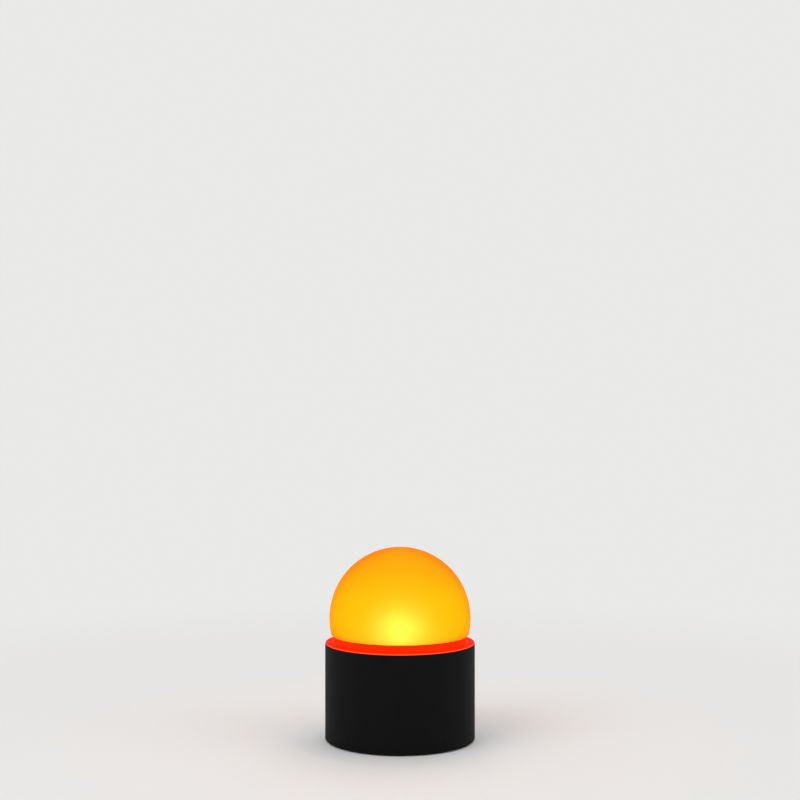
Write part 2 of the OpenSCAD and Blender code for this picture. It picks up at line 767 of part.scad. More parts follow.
// Open-topped tray that the two cells snap into
module battery_holder() {
    color("#232327") difference() {
        union() {
            translate([-holder_l / 2, -holder_w / 2, holder_z]) cube([holder_l, holder_w, holder_h]);
            for (side = [-1, 1]) translate([side * ear_c, 0, holder_z]) {
                cylinder(r = ear_r, h = ear_t);
                translate([side > 0 ? -ear_r : 0, -ear_r, 0]) cube([ear_r, 2 * ear_r, ear_t]);
            }
        }
        for (side = [-1, 1]) {
            translate([-cell_bay_l / 2, side * cell_y, cell_z]) rotate([0, 90, 0])
                cylinder(r = cell_groove_r, h = cell_bay_l);
            translate([side * ear_c, 0, holder_z - over])
                cylinder(r = big_screw[0] + hole_slack, h = ear_t + 2 * over);
        }
    }
}

module holder_screws() {
    color("silver") for (side = [-1, 1]) translate([side * ear_c, 0, holder_z + ear_t])
        screw(big_screw, ear_screw_l - screw_end_gap);
}

// Two cells side by side, pointing opposite ways
module battery_cells() {
    color("#2f6fb0") for (side = [-1, 1]) translate([0, side * cell_y, cell_z])
        rotate([0, side * 90, 0]) {
            translate([0, 0, -cell_l / 2]) cylinder(d = cell_d, h = cell_l - cell_cap[1]);
            translate([0, 0, cell_l / 2 - cell_cap[1] - bite])
                cylinder(r = cell_cap[0], h = cell_cap[1] + bite);
        }
}

// Plated spring plates at both ends of each cell
module battery_contacts() {
    color("#c9c2a8") for (end = [-1, 1], side = [-1, 1])
        translate([end * cell_bay_l / 2, side * cell_y, cell_z]) rotate([0, -end * 90, 0]) {
            translate([-contact_size[1] / 2, -contact_size[0] / 2, 0])
                cube([contact_size[1], contact_size[0], contact_t]);
            translate([0, 0, contact_t - bite])
                cylinder(r1 = contact_dimple[0] + contact_dimple[1], r2 = contact_dimple[0],
                         h = contact_dimple[1] + bite);
        }
}

module control_board() {
    color("#1d5a34") difference() {
        translate([0, 0, pcb_z + pcb_h / 2]) bar_y(pcb_front, pcb_rear)
            polygon(rounded([pcb_w, pcb_h], pcb_corner));
        for (x = [-pcb_hole_x, pcb_hole_x], z = pcb_hole_z) translate([x, 0, z])
            rod_y(small_screw[0] + hole_slack, pcb_front - over, pcb_rear + over);
    }
}

// Connectors, coil, capacitor and chips on the board's inner face, charge LED on its outer face
module board_parts() {
    color("#2b2b2e") {
        translate([0, 0, led_connector_z]) board_block(connector);
        translate([battery_connector_x, 0, battery_connector_z]) board_block(connector);
        translate(coil_at) rod_y(coil_size[0], pcb_front - coil_size[1], pcb_front);
        translate(capacitor_at) rod_y(capacitor_size[0], pcb_front - capacitor_size[1], pcb_front);
        translate(charger_at) board_block(charger_size);
        translate(driver_at) board_block(driver_size);
        translate([-charge_led[0] / 2, pcb_rear, pipe_z - charge_led[2] / 2]) cube(charge_led);
    }
}

// A block that stands on the board's inner face, centred where it is placed
module board_block(size) {
    translate([-size[0] / 2, pcb_front - size[1], -size[2] / 2]) cube(size);
}

module board_screws() {
    color("silver") for (x = [-pcb_hole_x, pcb_hole_x], z = pcb_hole_z)
        translate([x, pcb_front, z]) rotate([90, 0, 0]) screw(small_screw, board_t + board_screw_grip);
}

module push_switch() {
    color("#303034") difference() {
        translate([-switch_size[0] / 2, pcb_rear, button_z - switch_size[2] / 2]) cube(switch_size);
        translate([0, 0, button_z])
            rod_y(plunger_hole_r, switch_front - plunger_depth, switch_front + over);
    }
}

// Charging receptacle: an oval metal shell around a tongue
module usb_socket() {
    front = pcb_rear + socket_l;
    color("#c4c6c8") translate([0, 0, port_z]) {
        difference() {
            bar_y(pcb_rear, front) polygon(rounded(socket_size, socket_round));
            bar_y(front - socket_depth, front + over)
                polygon(rounded(socket_size - 2 * [socket_wall, socket_wall], socket_round - socket_wall));
        }
        translate([-socket_tongue[0] / 2, front - socket_depth - bite, -socket_tongue[1] / 2])
            cube([socket_tongue[0], socket_tongue[2] + bite, socket_tongue[1]]);
    }
}

// Insert in the wall with a pocket for the plug's grip
module usb_bezel() {
    color("#1b1a1d") intersection() {
        translate([0, 0, port_z]) difference() {
            union() {
                bar_y(bezel_back, base_r) polygon(rounded(bezel_size, bezel_corner));
                bar_y(bezel_back, port_pad_y)
                    polygon(bezel_flange_outline);
            }
            bar_y(bezel_back + bezel_floor, base_r + over) polygon(rounded(plug_pocket, plug_corner));
            bar_y(bezel_back - over, base_r)
                polygon(rounded(socket_size + 2 * [socket_wall, socket_wall], socket_round + socket_wall));
        }
        cylinder(r = base_r - slack, h = base_h);
    }
}

// Clear rod that carries the charge light through the wall
module light_pipe() {
    color("#f0f4f0", 0.6) intersection() {
        translate([0, 0, pipe_z]) union() {
            rod_y(pipe_r, pipe_back, base_r);
            rod_y(pipe_collar[0], base_in - slack - pipe_collar[1], base_in - slack);
        }
        cylinder(r = base_r - slack, h = base_h);
    }
}

module led_lead() {
    path = smooth(led_lead_stops, lead_steps);
    color("#18181a") tube(path, [for (p = path) [1, 0, 0]], lead_r, lead_sides);
}

module battery_lead() {
    path = smooth(battery_lead_stops, lead_steps);
    color("#7a1512") tube(path, [for (p = path) [0, 0, 1]], lead_r, lead_sides);
}

// The spring's wire: straight for one wire thickness at each end, wound in between
spring_steps = ceil(spring_turns * spring_rings);
spring_coil = [for (i = [0:spring_steps]) let (t = i / spring_steps, a = 360 * spring_turns * t)
    [(spring_r - spring_wire / 2) * cos(a),
     switch_front + spring_wire + t * (button_back - switch_front - 2 * spring_wire),
     button_z + (spring_r - spring_wire / 2) * sin(a)]];
spring_path = concat([spring_coil[0] - [0, spring_wire, 0]], spring_coil,
                     [spring_coil[spring_steps] + [0, spring_wire, 0]]);
spring_gap = min([for (i = [0:spring_steps], j = [0:spring_steps])
    if (j - i >= spring_rings / 2) norm(spring_coil[j] - spring_coil[i])]) - spring_wire;
echo(str("Least gap in the button spring: ", spring_gap, " mm"));

module button_spring() {
    color("silver") tube(spring_path, [for (p = spring_path) [p[0], 0, p[2] - button_z]],
                         spring_wire / 2, spring_sides);
}

// Cap in the wall, a flange that stops it from inside, and a stem behind
module power_button() {
    color("#26252a") translate([0, 0, button_z]) difference() {
        union() {
            rod_y(button_r, button_back, button_face_y);
            rod_y(button_flange_r, button_back, button_seat_y);
            rod_y(stem_r, stem_back, button_back + bite);
        }
        translate([0, button_face_y + button_dish_r - button_dish, 0]) sphere(r = button_dish_r);
    }
}

module switch_plunger() {
    color("#d8d8d2") translate([0, 0, button_z])
        rod_y(plunger_r, switch_front - plunger_sink, stem_back);
}

// Frosted amber globe, one wall from the crown to the neck
module globe() {
    color("#ffb400") rotate_extrude($fn = 180) difference() {
        union() {
            intersection() {
                translate([0, globe_z]) circle(r = globe_r);
                translate([0, corner_top]) square([globe_d, globe_d]);
            }
            polygon(concat(
                [[0, globe_z], [0, neck_z], [neck_r - neck_chamfer, neck_z],
                 [neck_r, neck_z + neck_chamfer], [neck_r, shoulder_z]],
                arc([corner_r, corner_z], shoulder_round, -90, corner_angle)));
        }
        intersection() {
            translate([0, globe_z]) circle(r = globe_in);
            translate([-over, shoulder_z + globe_wall]) square([globe_d, globe_d]);
        }
        translate([-over, neck_z - over])
            square([neck_in + over, shoulder_z + globe_wall - neck_z + 2 * over]);
    }
}

base_housing();
bottom_cover();
foot_pads();
cover_screws();
ballast_plate();
glow_ring();
ring_screws();
globe_gasket();
heat_sink();
heat_sink_screws();
led_board();
amber_leds();
red_leds();
reflector();
reflector_screws();
beam_board();
beam_led();
lens_holder();
beam_lens();
battery_holder();
holder_screws();
battery_cells();
battery_contacts();
control_board();
board_parts();
board_screws();
push_switch();
usb_socket();
usb_bezel();
light_pipe();
led_lead();
battery_lead();
button_spring();
power_button();
switch_plunger();
globe();
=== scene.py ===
"""Sunset lamp: a frosted amber globe on a glowing ring and a matt black base.

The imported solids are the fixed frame. Each piece that shows is modelled again in the same place at its
finished detail, rides on the same body and gets a procedural finish. Sizes in the classes are millimetres.
"""

import json
import logging
import math
from collections.abc import Callable, Iterator, Sequence
from contextlib import contextmanager
from dataclasses import dataclass
from enum import Enum

import bmesh
import bpy
from mathutils import Euler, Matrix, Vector

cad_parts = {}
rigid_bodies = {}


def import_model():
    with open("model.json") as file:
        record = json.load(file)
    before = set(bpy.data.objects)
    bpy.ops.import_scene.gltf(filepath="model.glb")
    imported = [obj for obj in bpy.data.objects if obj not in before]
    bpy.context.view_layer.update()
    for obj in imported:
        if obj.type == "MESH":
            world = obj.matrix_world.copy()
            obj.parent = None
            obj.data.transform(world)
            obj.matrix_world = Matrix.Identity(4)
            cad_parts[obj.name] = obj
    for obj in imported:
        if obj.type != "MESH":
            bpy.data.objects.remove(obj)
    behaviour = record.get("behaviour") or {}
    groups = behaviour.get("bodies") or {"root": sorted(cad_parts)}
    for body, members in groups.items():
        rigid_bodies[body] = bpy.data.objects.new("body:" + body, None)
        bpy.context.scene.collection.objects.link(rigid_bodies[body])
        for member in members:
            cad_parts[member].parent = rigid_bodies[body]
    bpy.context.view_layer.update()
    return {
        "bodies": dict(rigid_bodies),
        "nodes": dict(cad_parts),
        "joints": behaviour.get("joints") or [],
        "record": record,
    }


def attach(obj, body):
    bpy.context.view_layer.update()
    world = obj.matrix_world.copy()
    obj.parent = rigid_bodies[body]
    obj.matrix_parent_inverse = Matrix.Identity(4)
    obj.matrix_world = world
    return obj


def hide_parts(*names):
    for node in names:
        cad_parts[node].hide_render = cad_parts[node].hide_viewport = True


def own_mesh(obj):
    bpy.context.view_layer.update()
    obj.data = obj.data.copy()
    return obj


LOG = logging.getLogger("sunset_lamp")
MM = 0.001

# How closely a normal or an edge has to follow a direction to count as lying along it
FACING = 0.9
# How near two points lie, in metres, when they are welded: drawn ones, cut ones and those of a CAD node
DRAWN_WELD = 1e-7
CUT_WELD = 1e-6
NODE_WELD = 2e-6
# Below how many degrees a turn between two faces of a CAD node counts as flat
FLAT = 0.4
# How near, in millimetres, an edge lies to a circle's height and radius when it is part of it
LEVEL = 0.01
ROUND = 0.05
# Between which values most of a noise lies
NOISE_SPAN = (0.3, 0.7)
# What a cutting tool stands out on both sides of what it cuts
OVERRUN = 1.0

Piece = bpy.types.Object
Socket = bpy.types.NodeSocket
Colour = tuple[float, float, float]
Point = tuple[float, float]
Section = list[Point]
Triple = tuple[float, float, float]
Row = tuple[float, ...]
Glow = tuple[tuple[float, Colour], ...]
Spot = tuple[Triple, Triple]
Test = Callable[[Vector, Vector], bool]


class Axis(Enum):
    """The axis that a turned piece or a rod lies on."""

    UP = (0.0, 0.0, 1.0)
    REAR = (0.0, 1.0, 0.0)


class Body(Enum):
    """The moving bodies of the lamp."""

    BASE = "lamp_base"
    BUTTON = "power_button"
    GLOBE = "globe"


class Part(Enum):
    """What pick() selects in an open mesh."""

    FACES = "FACE"
    EDGES = "EDGE"


class Carve(Enum):
    """How a tool changes the piece that it meets."""

    CUT = "DIFFERENCE"
    ADD = "UNION"


# Hand tools


def hold(*pieces: Piece) -> None:
    """Selects these pieces alone and makes the first one active.

    Args:
        pieces: The pieces to select.
    """
    bpy.ops.object.select_all(action="DESELECT")
    for piece in pieces:
        piece.select_set(True)
    bpy.context.view_layer.objects.active = pieces[0]


@contextmanager
def editing(piece: Piece) -> Iterator[None]:
    """Opens a piece in edit mode with all of it selected, and closes it afterwards.

    Args:
        piece: The mesh to open.
    """
    hold(piece)
    bpy.ops.object.mode_set(mode="EDIT")
    bpy.ops.mesh.select_mode(type="VERT")
    bpy.ops.mesh.select_all(action="SELECT")
    yield
    bpy.ops.object.mode_set(mode="OBJECT")


def pick(piece: Piece, test: Test, part: Part = Part.FACES) -> None:
    """Selects the faces or edges of an open mesh that pass a test, and nothing else.

    Args:
        piece: The mesh, in edit mode.
        test: Told the middle of a face or edge in millimetres, and its normal or direction.
        part: Whether faces or edges are looked at.
    """
    bpy.ops.mesh.select_mode(type=part.value)
    bpy.ops.mesh.select_all(action="DESELECT")
    mesh = bmesh.from_edit_mesh(piece.data)
    if part is Part.FACES:
        for face in mesh.faces:
            face.select_set(test(face.calc_center_median() / MM, face.normal))
    else:
        for edge in mesh.edges:
            first, second = (v.co for v in edge.verts)
            edge.select_set(test((first + second) / (2 * MM), (second - first).normalized()))
    mesh.select_flush_mode()
    bmesh.update_edit_mesh(piece.data)


def facing(way: Sequence[float]) -> Test:
    """Gives a test for the faces that look one way."""
    return lambda middle, normal: normal.dot(Vector(way)) > FACING


def draw_out(by: Sequence[float]) -> None:
    """Extrudes what is selected, by so many millimetres along each axis."""
    bpy.ops.mesh.extrude_region_move(TRANSFORM_OT_translate={"value": tuple(step * MM for step in by)})


def on_rim(radius: float, height: float) -> Test:
    """Gives a test for the edges along a level circle around the lamp's axis."""
    return lambda middle, way: abs(middle.z - height) < LEVEL and abs(middle.xy.length - radius) < ROUND


def step_in(width: float) -> None:
    """Insets the selected faces."""
    bpy.ops.mesh.inset(thickness=width * MM)


def round_off(width: float, segments: int) -> None:
    """Rounds the selected edges, or cuts them off straight where there is one segment."""
    bpy.ops.mesh.bevel(offset=width * MM, segments=segments, affect="EDGES")


def named(name: str) -> Piece:
    """Names the piece that was just added and applies its place to its mesh.

    Args:
        name: The new name of the piece and its mesh.

    Returns:
        The piece, with its origin in the frame's origin.
    """
    piece = bpy.context.view_layer.objects.active
    piece.name = piece.data.name = name
    hold(piece)
    bpy.ops.object.transform_apply(location=True, rotation=True, scale=True)
    return piece


def block(name: str, size: Triple, centre: Triple) -> Piece:
    """Adds a box, as a start for a piece or a tool.

    Args:
        name: The box's name.
        size: Its size along X, Y and Z.
        centre: Its middle.

    Returns:
        The new box.
    """
    bpy.ops.mesh.primitive_cube_add(size=1, location=Vector(centre) * MM)
    bpy.context.view_layer.objects.active.scale = Vector(size) * MM
    return named(name)


def rod(
    name: str, radius: float, start: float, end: float,
    at: Point = (0.0, 0.0), axis: Axis = Axis.UP, sides: int = 48,
) -> Piece:
    """Adds a round bar, as a start for a piece or a tool.

    Args:
        name: The bar's name.
        radius: Its radius.
        start: Where it begins along its axis.
        end: Where it ends.
        at: X and Y of an upright bar, or X and Z of one that points to the rear.
        axis: The axis that it lies along.
        sides: The number of its sides.

    Returns:
        The new bar.
    """
    middle = (start + end) / 2
    upright = axis is Axis.UP
    bpy.ops.mesh.primitive_cylinder_add(
        vertices=sides, radius=radius * MM, depth=(end - start) * MM,
        location=Vector((at[0], at[1], middle) if upright else (at[0], middle, at[1])) * MM,
        rotation=(0, 0, 0) if upright else (math.pi / 2, 0, 0),
    )
    return named(name)


def arc(centre: Point, radius: float, start: float, end: float, steps: int = 12) -> Section:
    """Gives the points of an arc, angles in degrees.

    Args:
        centre: The arc's centre.
        radius: Its radius.
        start: The angle of the first point.
        end: The angle of the last point.
        steps: The number of spans.

    Returns:
        The points from start to end.
    """
    angles = [math.radians(start + (end - start) * i / steps) for i in range(steps + 1)]
    return [(centre[0] + radius * math.cos(a), centre[1] + radius * math.sin(a)) for a in angles]


def turn(
    name: str, section: Section, axis: Axis = Axis.UP, steps: int = 48, sweep: float = 360.0,
) -> Piece:
    """Draws a section point by point and spins it, as on a lathe.

    A section that begins on the axis also ends on it. Any other is closed on itself.

    Args:
        name: The piece's name.
        section: Radius and distance along the axis of each point.
        axis: The axis of the spin, through the frame's origin.
        steps: The number of steps around.
        sweep: The angle of the spin in degrees.

    Returns:
        The turned piece.
    """
    points = [(Vector((1, 0, 0)) * r + Vector(axis.value) * along) * MM for r, along in section]
    bpy.ops.mesh.primitive_plane_add(size=MM)
    piece = named(name)
    with editing(piece):
        bpy.ops.mesh.merge(type="CENTER")
        bpy.ops.transform.translate(value=points[0])
        for here, there in zip(points, points[1:]):
            bpy.ops.mesh.extrude_region_move(TRANSFORM_OT_translate={"value": there - here})
        if section[0][0] > 0:
            mesh = bmesh.from_edit_mesh(piece.data)
            for vertex in mesh.verts:
                vertex.select_set(len(vertex.link_edges) == 1)
            bmesh.update_edit_mesh(piece.data)
            bpy.ops.mesh.edge_face_add()
        bpy.ops.mesh.select_all(action="SELECT")
        bpy.ops.mesh.spin(steps=steps, angle=math.radians(sweep), center=(0, 0, 0), axis=axis.value)
        bpy.ops.mesh.select_all(action="SELECT")
        bpy.ops.mesh.remove_doubles(threshold=DRAWN_WELD)
        if sweep < 360:
            bpy.ops.mesh.fill_holes(sides=0)
        bpy.ops.mesh.normals_make_consistent(inside=False)
    return piece


def move(piece: Piece, to: Triple, turned: Triple = (0.0, 0.0, 0.0)) -> Piece:
    """Turns a piece about the frame's origin, moves it and applies both to its mesh.

    Args:
        piece: The piece to move.
        to: How far it moves.
        turned: How far it turns about X, Y and Z, in degrees.

    Returns:
        The same piece.
    """
    piece.rotation_euler = Euler([math.radians(a) for a in turned])
    piece.location = Vector(to) * MM
    hold(piece)
    bpy.ops.object.transform_apply(location=True, rotation=True, scale=True)
    return piece


def join(name: str, pieces: Sequence[Piece]) -> Piece:
    """Joins pieces into one mesh under a new name.

    Args:
        name: The new name.
        pieces: The pieces, which are used up.

    Returns:
        The joined piece.
    """
    hold(*pieces)
    if len(pieces) > 1:
        bpy.ops.object.join()
    return named(name)


def copies(name: str, model: Piece, spots: Sequence[Spot]) -> Piece:
    """Copies a model to each spot, every copy with its own mesh, and joins the copies.

    Args:
        name: The name of the joined piece.
        model: The piece to copy, which is used up.
        spots: A place and a turn in degrees for each copy.

    Returns:
        The joined copies.
    """
    made = []
    for place, turned in spots:
        hold(model)
        bpy.ops.object.duplicate()
        made.append(move(bpy.context.view_layer.objects.active, place, turned))
    bpy.data.objects.remove(model)
    return join(name, made)


def ring_of(count: int, radius: float, height: float = 0.0) -> list[Spot]:
    """Gives evenly spaced spots on a level circle, each turned to face outwards."""
    return on_circle([360 * i / count for i in range(count)], radius, height)


def on_circle(angles: Sequence[float], radius: float, height: float = 0.0) -> list[Spot]:
    """Gives a spot at each angle of a level circle, turned to face outwards."""
    return [
        ((radius * math.cos(math.radians(a)), radius * math.sin(math.radians(a)), height), (0.0, 0.0, a))
        for a in angles
    ]


def alter(piece: Piece, kind: str, **settings: object) -> None:
    """Applies a modifier to a piece.

    Args:
        piece: The piece.
        kind: The modifier's type.
        settings: The modifier's properties.
    """
    hold(piece)
    modifier = piece.modifiers.new(kind.lower(), kind)
    for name, value in settings.items():
        setattr(modifier, name, value)
    bpy.ops.object.modifier_apply(modifier=modifier.name)


@dataclass(frozen=True)
class Circle:
    """Places on a level circle around the lamp's axis, which screws and their holes share."""

    radius: float
    angles: Row

    def spots(self, height: float = 0.0) -> list[Spot]:
        """Gives the spots at a height."""
        return on_circle(self.angles, self.radius, height)

    def places(self, height: float) -> list[Triple]:
        """Gives the places at a height."""
        return [place for place, _ in self.spots(height)]


COVER_CIRCLE = Circle(70.5, (45.0, 135.0, 225.0, 315.0))
RING_CIRCLE = Circle(73.104, (30.0, 150.0, 270.0))
SINK_CIRCLE = Circle(60.608, (45.0, 135.0, 225.0, 315.0))
DISH_CIRCLE = Circle(30.0478, (45.0, 165.0, 285.0))


def carve(piece: Piece, tool: Piece, how: Carve = Carve.CUT) -> None:
    """Cuts a tool out of a piece, or adds it, and uses the tool up.

    Args:
        piece: The piece that stays.
        tool: The tool, which is removed.
        how: What becomes of the space that they share.
    """
    alter(piece, "BOOLEAN", operation=how.value, solver="EXACT", use_self=how is Carve.ADD, object=tool)
    bpy.data.objects.remove(tool)
    with editing(piece):
        bpy.ops.mesh.remove_doubles(threshold=CUT_WELD)
        bpy.ops.mesh.dissolve_degenerate(threshold=CUT_WELD)


def ease(piece: Piece, width: float, segments: int = 2, angle: float = 35.0) -> None:
    """Rounds the sharp edges of a piece.

    Args:
        piece: The piece.
        width: The width of the rounding.
        segments: The number of facets across it.
        angle: Edges that turn by more than this many degrees are rounded.
    """
    limit = {"limit_method": "ANGLE", "angle_limit": math.radians(angle)}
    alter(piece, "BEVEL", width=width * MM, segments=segments, **limit)


def soften(piece: Piece, angle: float = 32.0) -> Piece:
    """Shades a piece smooth, with creases at sharp turns and flat faces kept flat beside rounded edges.

    Args:
        piece: The piece.
        angle: The turn in degrees above which an edge stays a crease.

    Returns:
        The same piece.
    """
    hold(piece)
    bpy.ops.object.shade_smooth_by_angle(angle=math.radians(angle))
    alter(piece, "WEIGHTED_NORMAL", keep_sharp=True)
    return piece


def from_node(node: Piece, name: str, easing: float, segments: int) -> Piece:
    """Copies a CAD node's mesh into a new piece, welds it and rounds its edges.

    Args:
        node: The node, which is left as it is.
        name: The new piece's name.
        easing: The width of the rounding.
        segments: The number of facets across the rounding.

    Returns:
        The new piece.
    """
    piece = bpy.data.objects.new(name, node.data.copy())
    bpy.context.scene.collection.objects.link(piece)
    with editing(piece):
        bpy.ops.mesh.customdata_custom_splitnormals_clear()
        bpy.ops.mesh.remove_doubles(threshold=NODE_WELD)
        bpy.ops.mesh.dissolve_limited(angle_limit=math.radians(FLAT))
    ease(piece, easing, segments)
    return soften(piece)


def tube(name: str, route: Sequence[Vector], radius: float, sides: int) -> Piece:
    """Bends a round wire along a route and makes it a mesh.

    Args:
        name: The wire's name.
        route: The points of its centre line.
        radius: Its radius.
        sides: How finely it is rounded.

    Returns:
        The wire.
    """
    curve = bpy.data.curves.new(name, "CURVE")
    curve.dimensions = "3D"
    curve.bevel_depth = radius * MM
    curve.bevel_resolution = sides
    curve.use_fill_caps = True
    spline = curve.splines.new("POLY")
    spline.points.add(len(route) - 1)
    for point, place in zip(spline.points, route):
        point.co = (*(place * MM), 1.0)
    piece = bpy.data.objects.new(name, curve)
    bpy.context.scene.collection.objects.link(piece)
    hold(piece)
    bpy.ops.object.convert(target="MESH")
    piece = named(name)
    with editing(piece):
        bpy.ops.mesh.remove_doubles(threshold=DRAWN_WELD)
        bpy.ops.mesh.normals_make_consistent(inside=False)
    return soften(piece, angle=60)


# Finishes


class NodeTree:
    """A node tree with short ways to add to it."""

    def __init__(self, tree: bpy.types.NodeTree) -> None:
        """Takes the tree of a material or of the world."""
        self.tree = tree

    def add(self, kind: str, inputs: dict, **settings: object) -> bpy.types.Node:
        """Adds a node.

        Args:
            kind: The node's type.
            inputs: A value or a socket for each named or numbered input.
            settings: The node's own properties.

        Returns:
            The new node.
        """
        node = self.tree.nodes.new(kind)
        for name, value in settings.items():
            setattr(node, name, value)
        for name, value in inputs.items():
            if isinstance(value, Socket):
                self.tree.links.new(value, node.inputs[name])
            else:
                node.inputs[name].default_value = value
        return node

    def maths(self, operation: str, first: Socket | float, second: Socket | float = 0.0) -> Socket:
        """Gives the result of an operation on one or two values."""
        return self.add("ShaderNodeMath", {0: first, 1: second}, operation=operation).outputs[0]

    def seen(self) -> Socket:
        """Tells what is seen, directly, mirrored or through something clear, from what only gives light.

        Returns:
            A value of 1 for what is seen, and otherwise 0.
        """
        rays = self.add("ShaderNodeLightPath", {}).outputs
        seen = rays["Is Camera Ray"]
        for ray in ("Is Glossy Ray", "Is Transmission Ray"):
            seen = self.maths("MAXIMUM", seen, rays[ray])
        return seen

    def send(self, output: str, share: Socket, first: bpy.types.Node, second: bpy.types.Node) -> None:
        """Sends a mix of two shaders, with a share of the second one, to the tree's output."""
        mix = self.add("ShaderNodeMixShader", {0: share, 1: first.outputs[0], 2: second.outputs[0]})
        self.tree.links.new(mix.outputs[0], self.tree.nodes[output].inputs[0])


class NodeBoard(NodeTree):
    """A material's node tree with short ways to add textures in the frame's own coordinates."""

    def __init__(self, material: bpy.types.Material) -> None:
        """Opens the tree of a new material."""
        material.use_nodes = True
        super().__init__(material.node_tree)
        self.shader = self.tree.nodes["Principled BSDF"]
        self.place = self.tree.nodes.new("ShaderNodeTexCoord").outputs["Object"]

    def feed(self, name: str, value: Socket) -> None:
        """Links a socket to an input of the shader."""
        self.tree.links.new(value, self.shader.inputs[name])

    def fix(self, sockets: dict[str, object]) -> None:
        """Sets what is the same all over the surface on the shader's own sockets."""
        for name, value in sockets.items():
            self.shader.inputs[name].default_value = value

    def glow(self, colour: Socket, power: float) -> None:
        """Lets the surface give off light of a colour."""
        self.feed("Emission Color", colour)
        self.fix({"Emission Strength": power})

    def relief(self, height: Socket, depth: float) -> None:
        """Gives the surface a relief of a depth in millimetres."""
        inputs = {"Height": height, "Distance": depth * MM, "Strength": 1.0}
        self.feed("Normal", self.add("ShaderNodeBump", inputs).outputs[0])

    def noise(self, grain: float, detail: float = 2.0, place: Socket | None = None) -> Socket:
        """Gives a noise whose features are about a grain, in millimetres, across."""
        inputs = {"Vector": place or self.place, "Scale": 1 / (grain * MM), "Detail": detail}
        return self.add("ShaderNodeTexNoise", inputs).outputs[0]

    def stretched(self, scale: Triple) -> Socket:
        """Gives the frame's coordinates, scaled unevenly."""
        return self.add("ShaderNodeMapping", {"Vector": self.place, "Scale": scale}).outputs[0]

    def ranged(self, value: Socket, low: float, high: float, to_low: float, to_high: float) -> Socket:
        """Maps a range of a value to another range, which it enters and leaves softly."""
        inputs = {"Value": value, 1: low, 2: high, 3: to_low, 4: to_high}
        return self.add("ShaderNodeMapRange", inputs, interpolation_type="SMOOTHSTEP").outputs[0]

    def mixed(self, share: Socket | float, first: Colour | Socket, second: Colour | Socket) -> Socket:
        """Mixes two colours, with a share of the second one."""
        low, high = ((*c, 1.0) if isinstance(c, tuple) else c for c in (first, second))
        return self.add("ShaderNodeMix", {0: share, 6: low, 7: high}, data_type="RGBA").outputs[2]

    def ramp(self, value: Socket, stops: Glow) -> Socket:
        """Gives a colour along a row of stops.

        Args:
            value: The place along the row, from 0 to 1.
            stops: A place and a colour for each stop, in order.

        Returns:
            The colour.
        """
        node = self.add("ShaderNodeValToRGB", {0: value})
        row = node.color_ramp.elements
        while len(row) < len(stops):
            row.new(1.0)
        for element, (place, colour) in zip(row, stops):
            element.position = place
            element.color = (*colour, 1.0)
        return node.outputs[0]

    def axes(self) -> tuple[Socket, Socket, Socket]:
        """Gives the frame's X, Y and Z at a point, in metres."""
        node = self.add("ShaderNodeSeparateXYZ", {0: self.place})
        return node.outputs[0], node.outputs[1], node.outputs[2]

    def level(self, low: float, high: float) -> Socket:
        """Gives the height at a point as a share of the way from one height to another."""
        inputs = {"Value": self.axes()[2], 1: low * MM, 2: high * MM, 3: 0.0, 4: 1.0}
        return self.add("ShaderNodeMapRange", inputs).outputs[0]

    def reach(self, centre: float | None = None) -> Socket:
        """Gives the distance of a point from the lamp's axis, or from a height on it.

        Args:
            centre: The height, where there is one.

        Returns:
            The distance in metres.
        """
        if centre is None:
            flat = self.add("ShaderNodeVectorMath", {0: self.place, 1: (1, 1, 0)}, operation="MULTIPLY")
        else:
            low = (0, 0, centre * MM)
            flat = self.add("ShaderNodeVectorMath", {0: self.place, 1: low}, operation="SUBTRACT")
        length = self.add("ShaderNodeVectorMath", {0: flat.outputs[0]}, operation="LENGTH")
        return length.outputs["Value"]


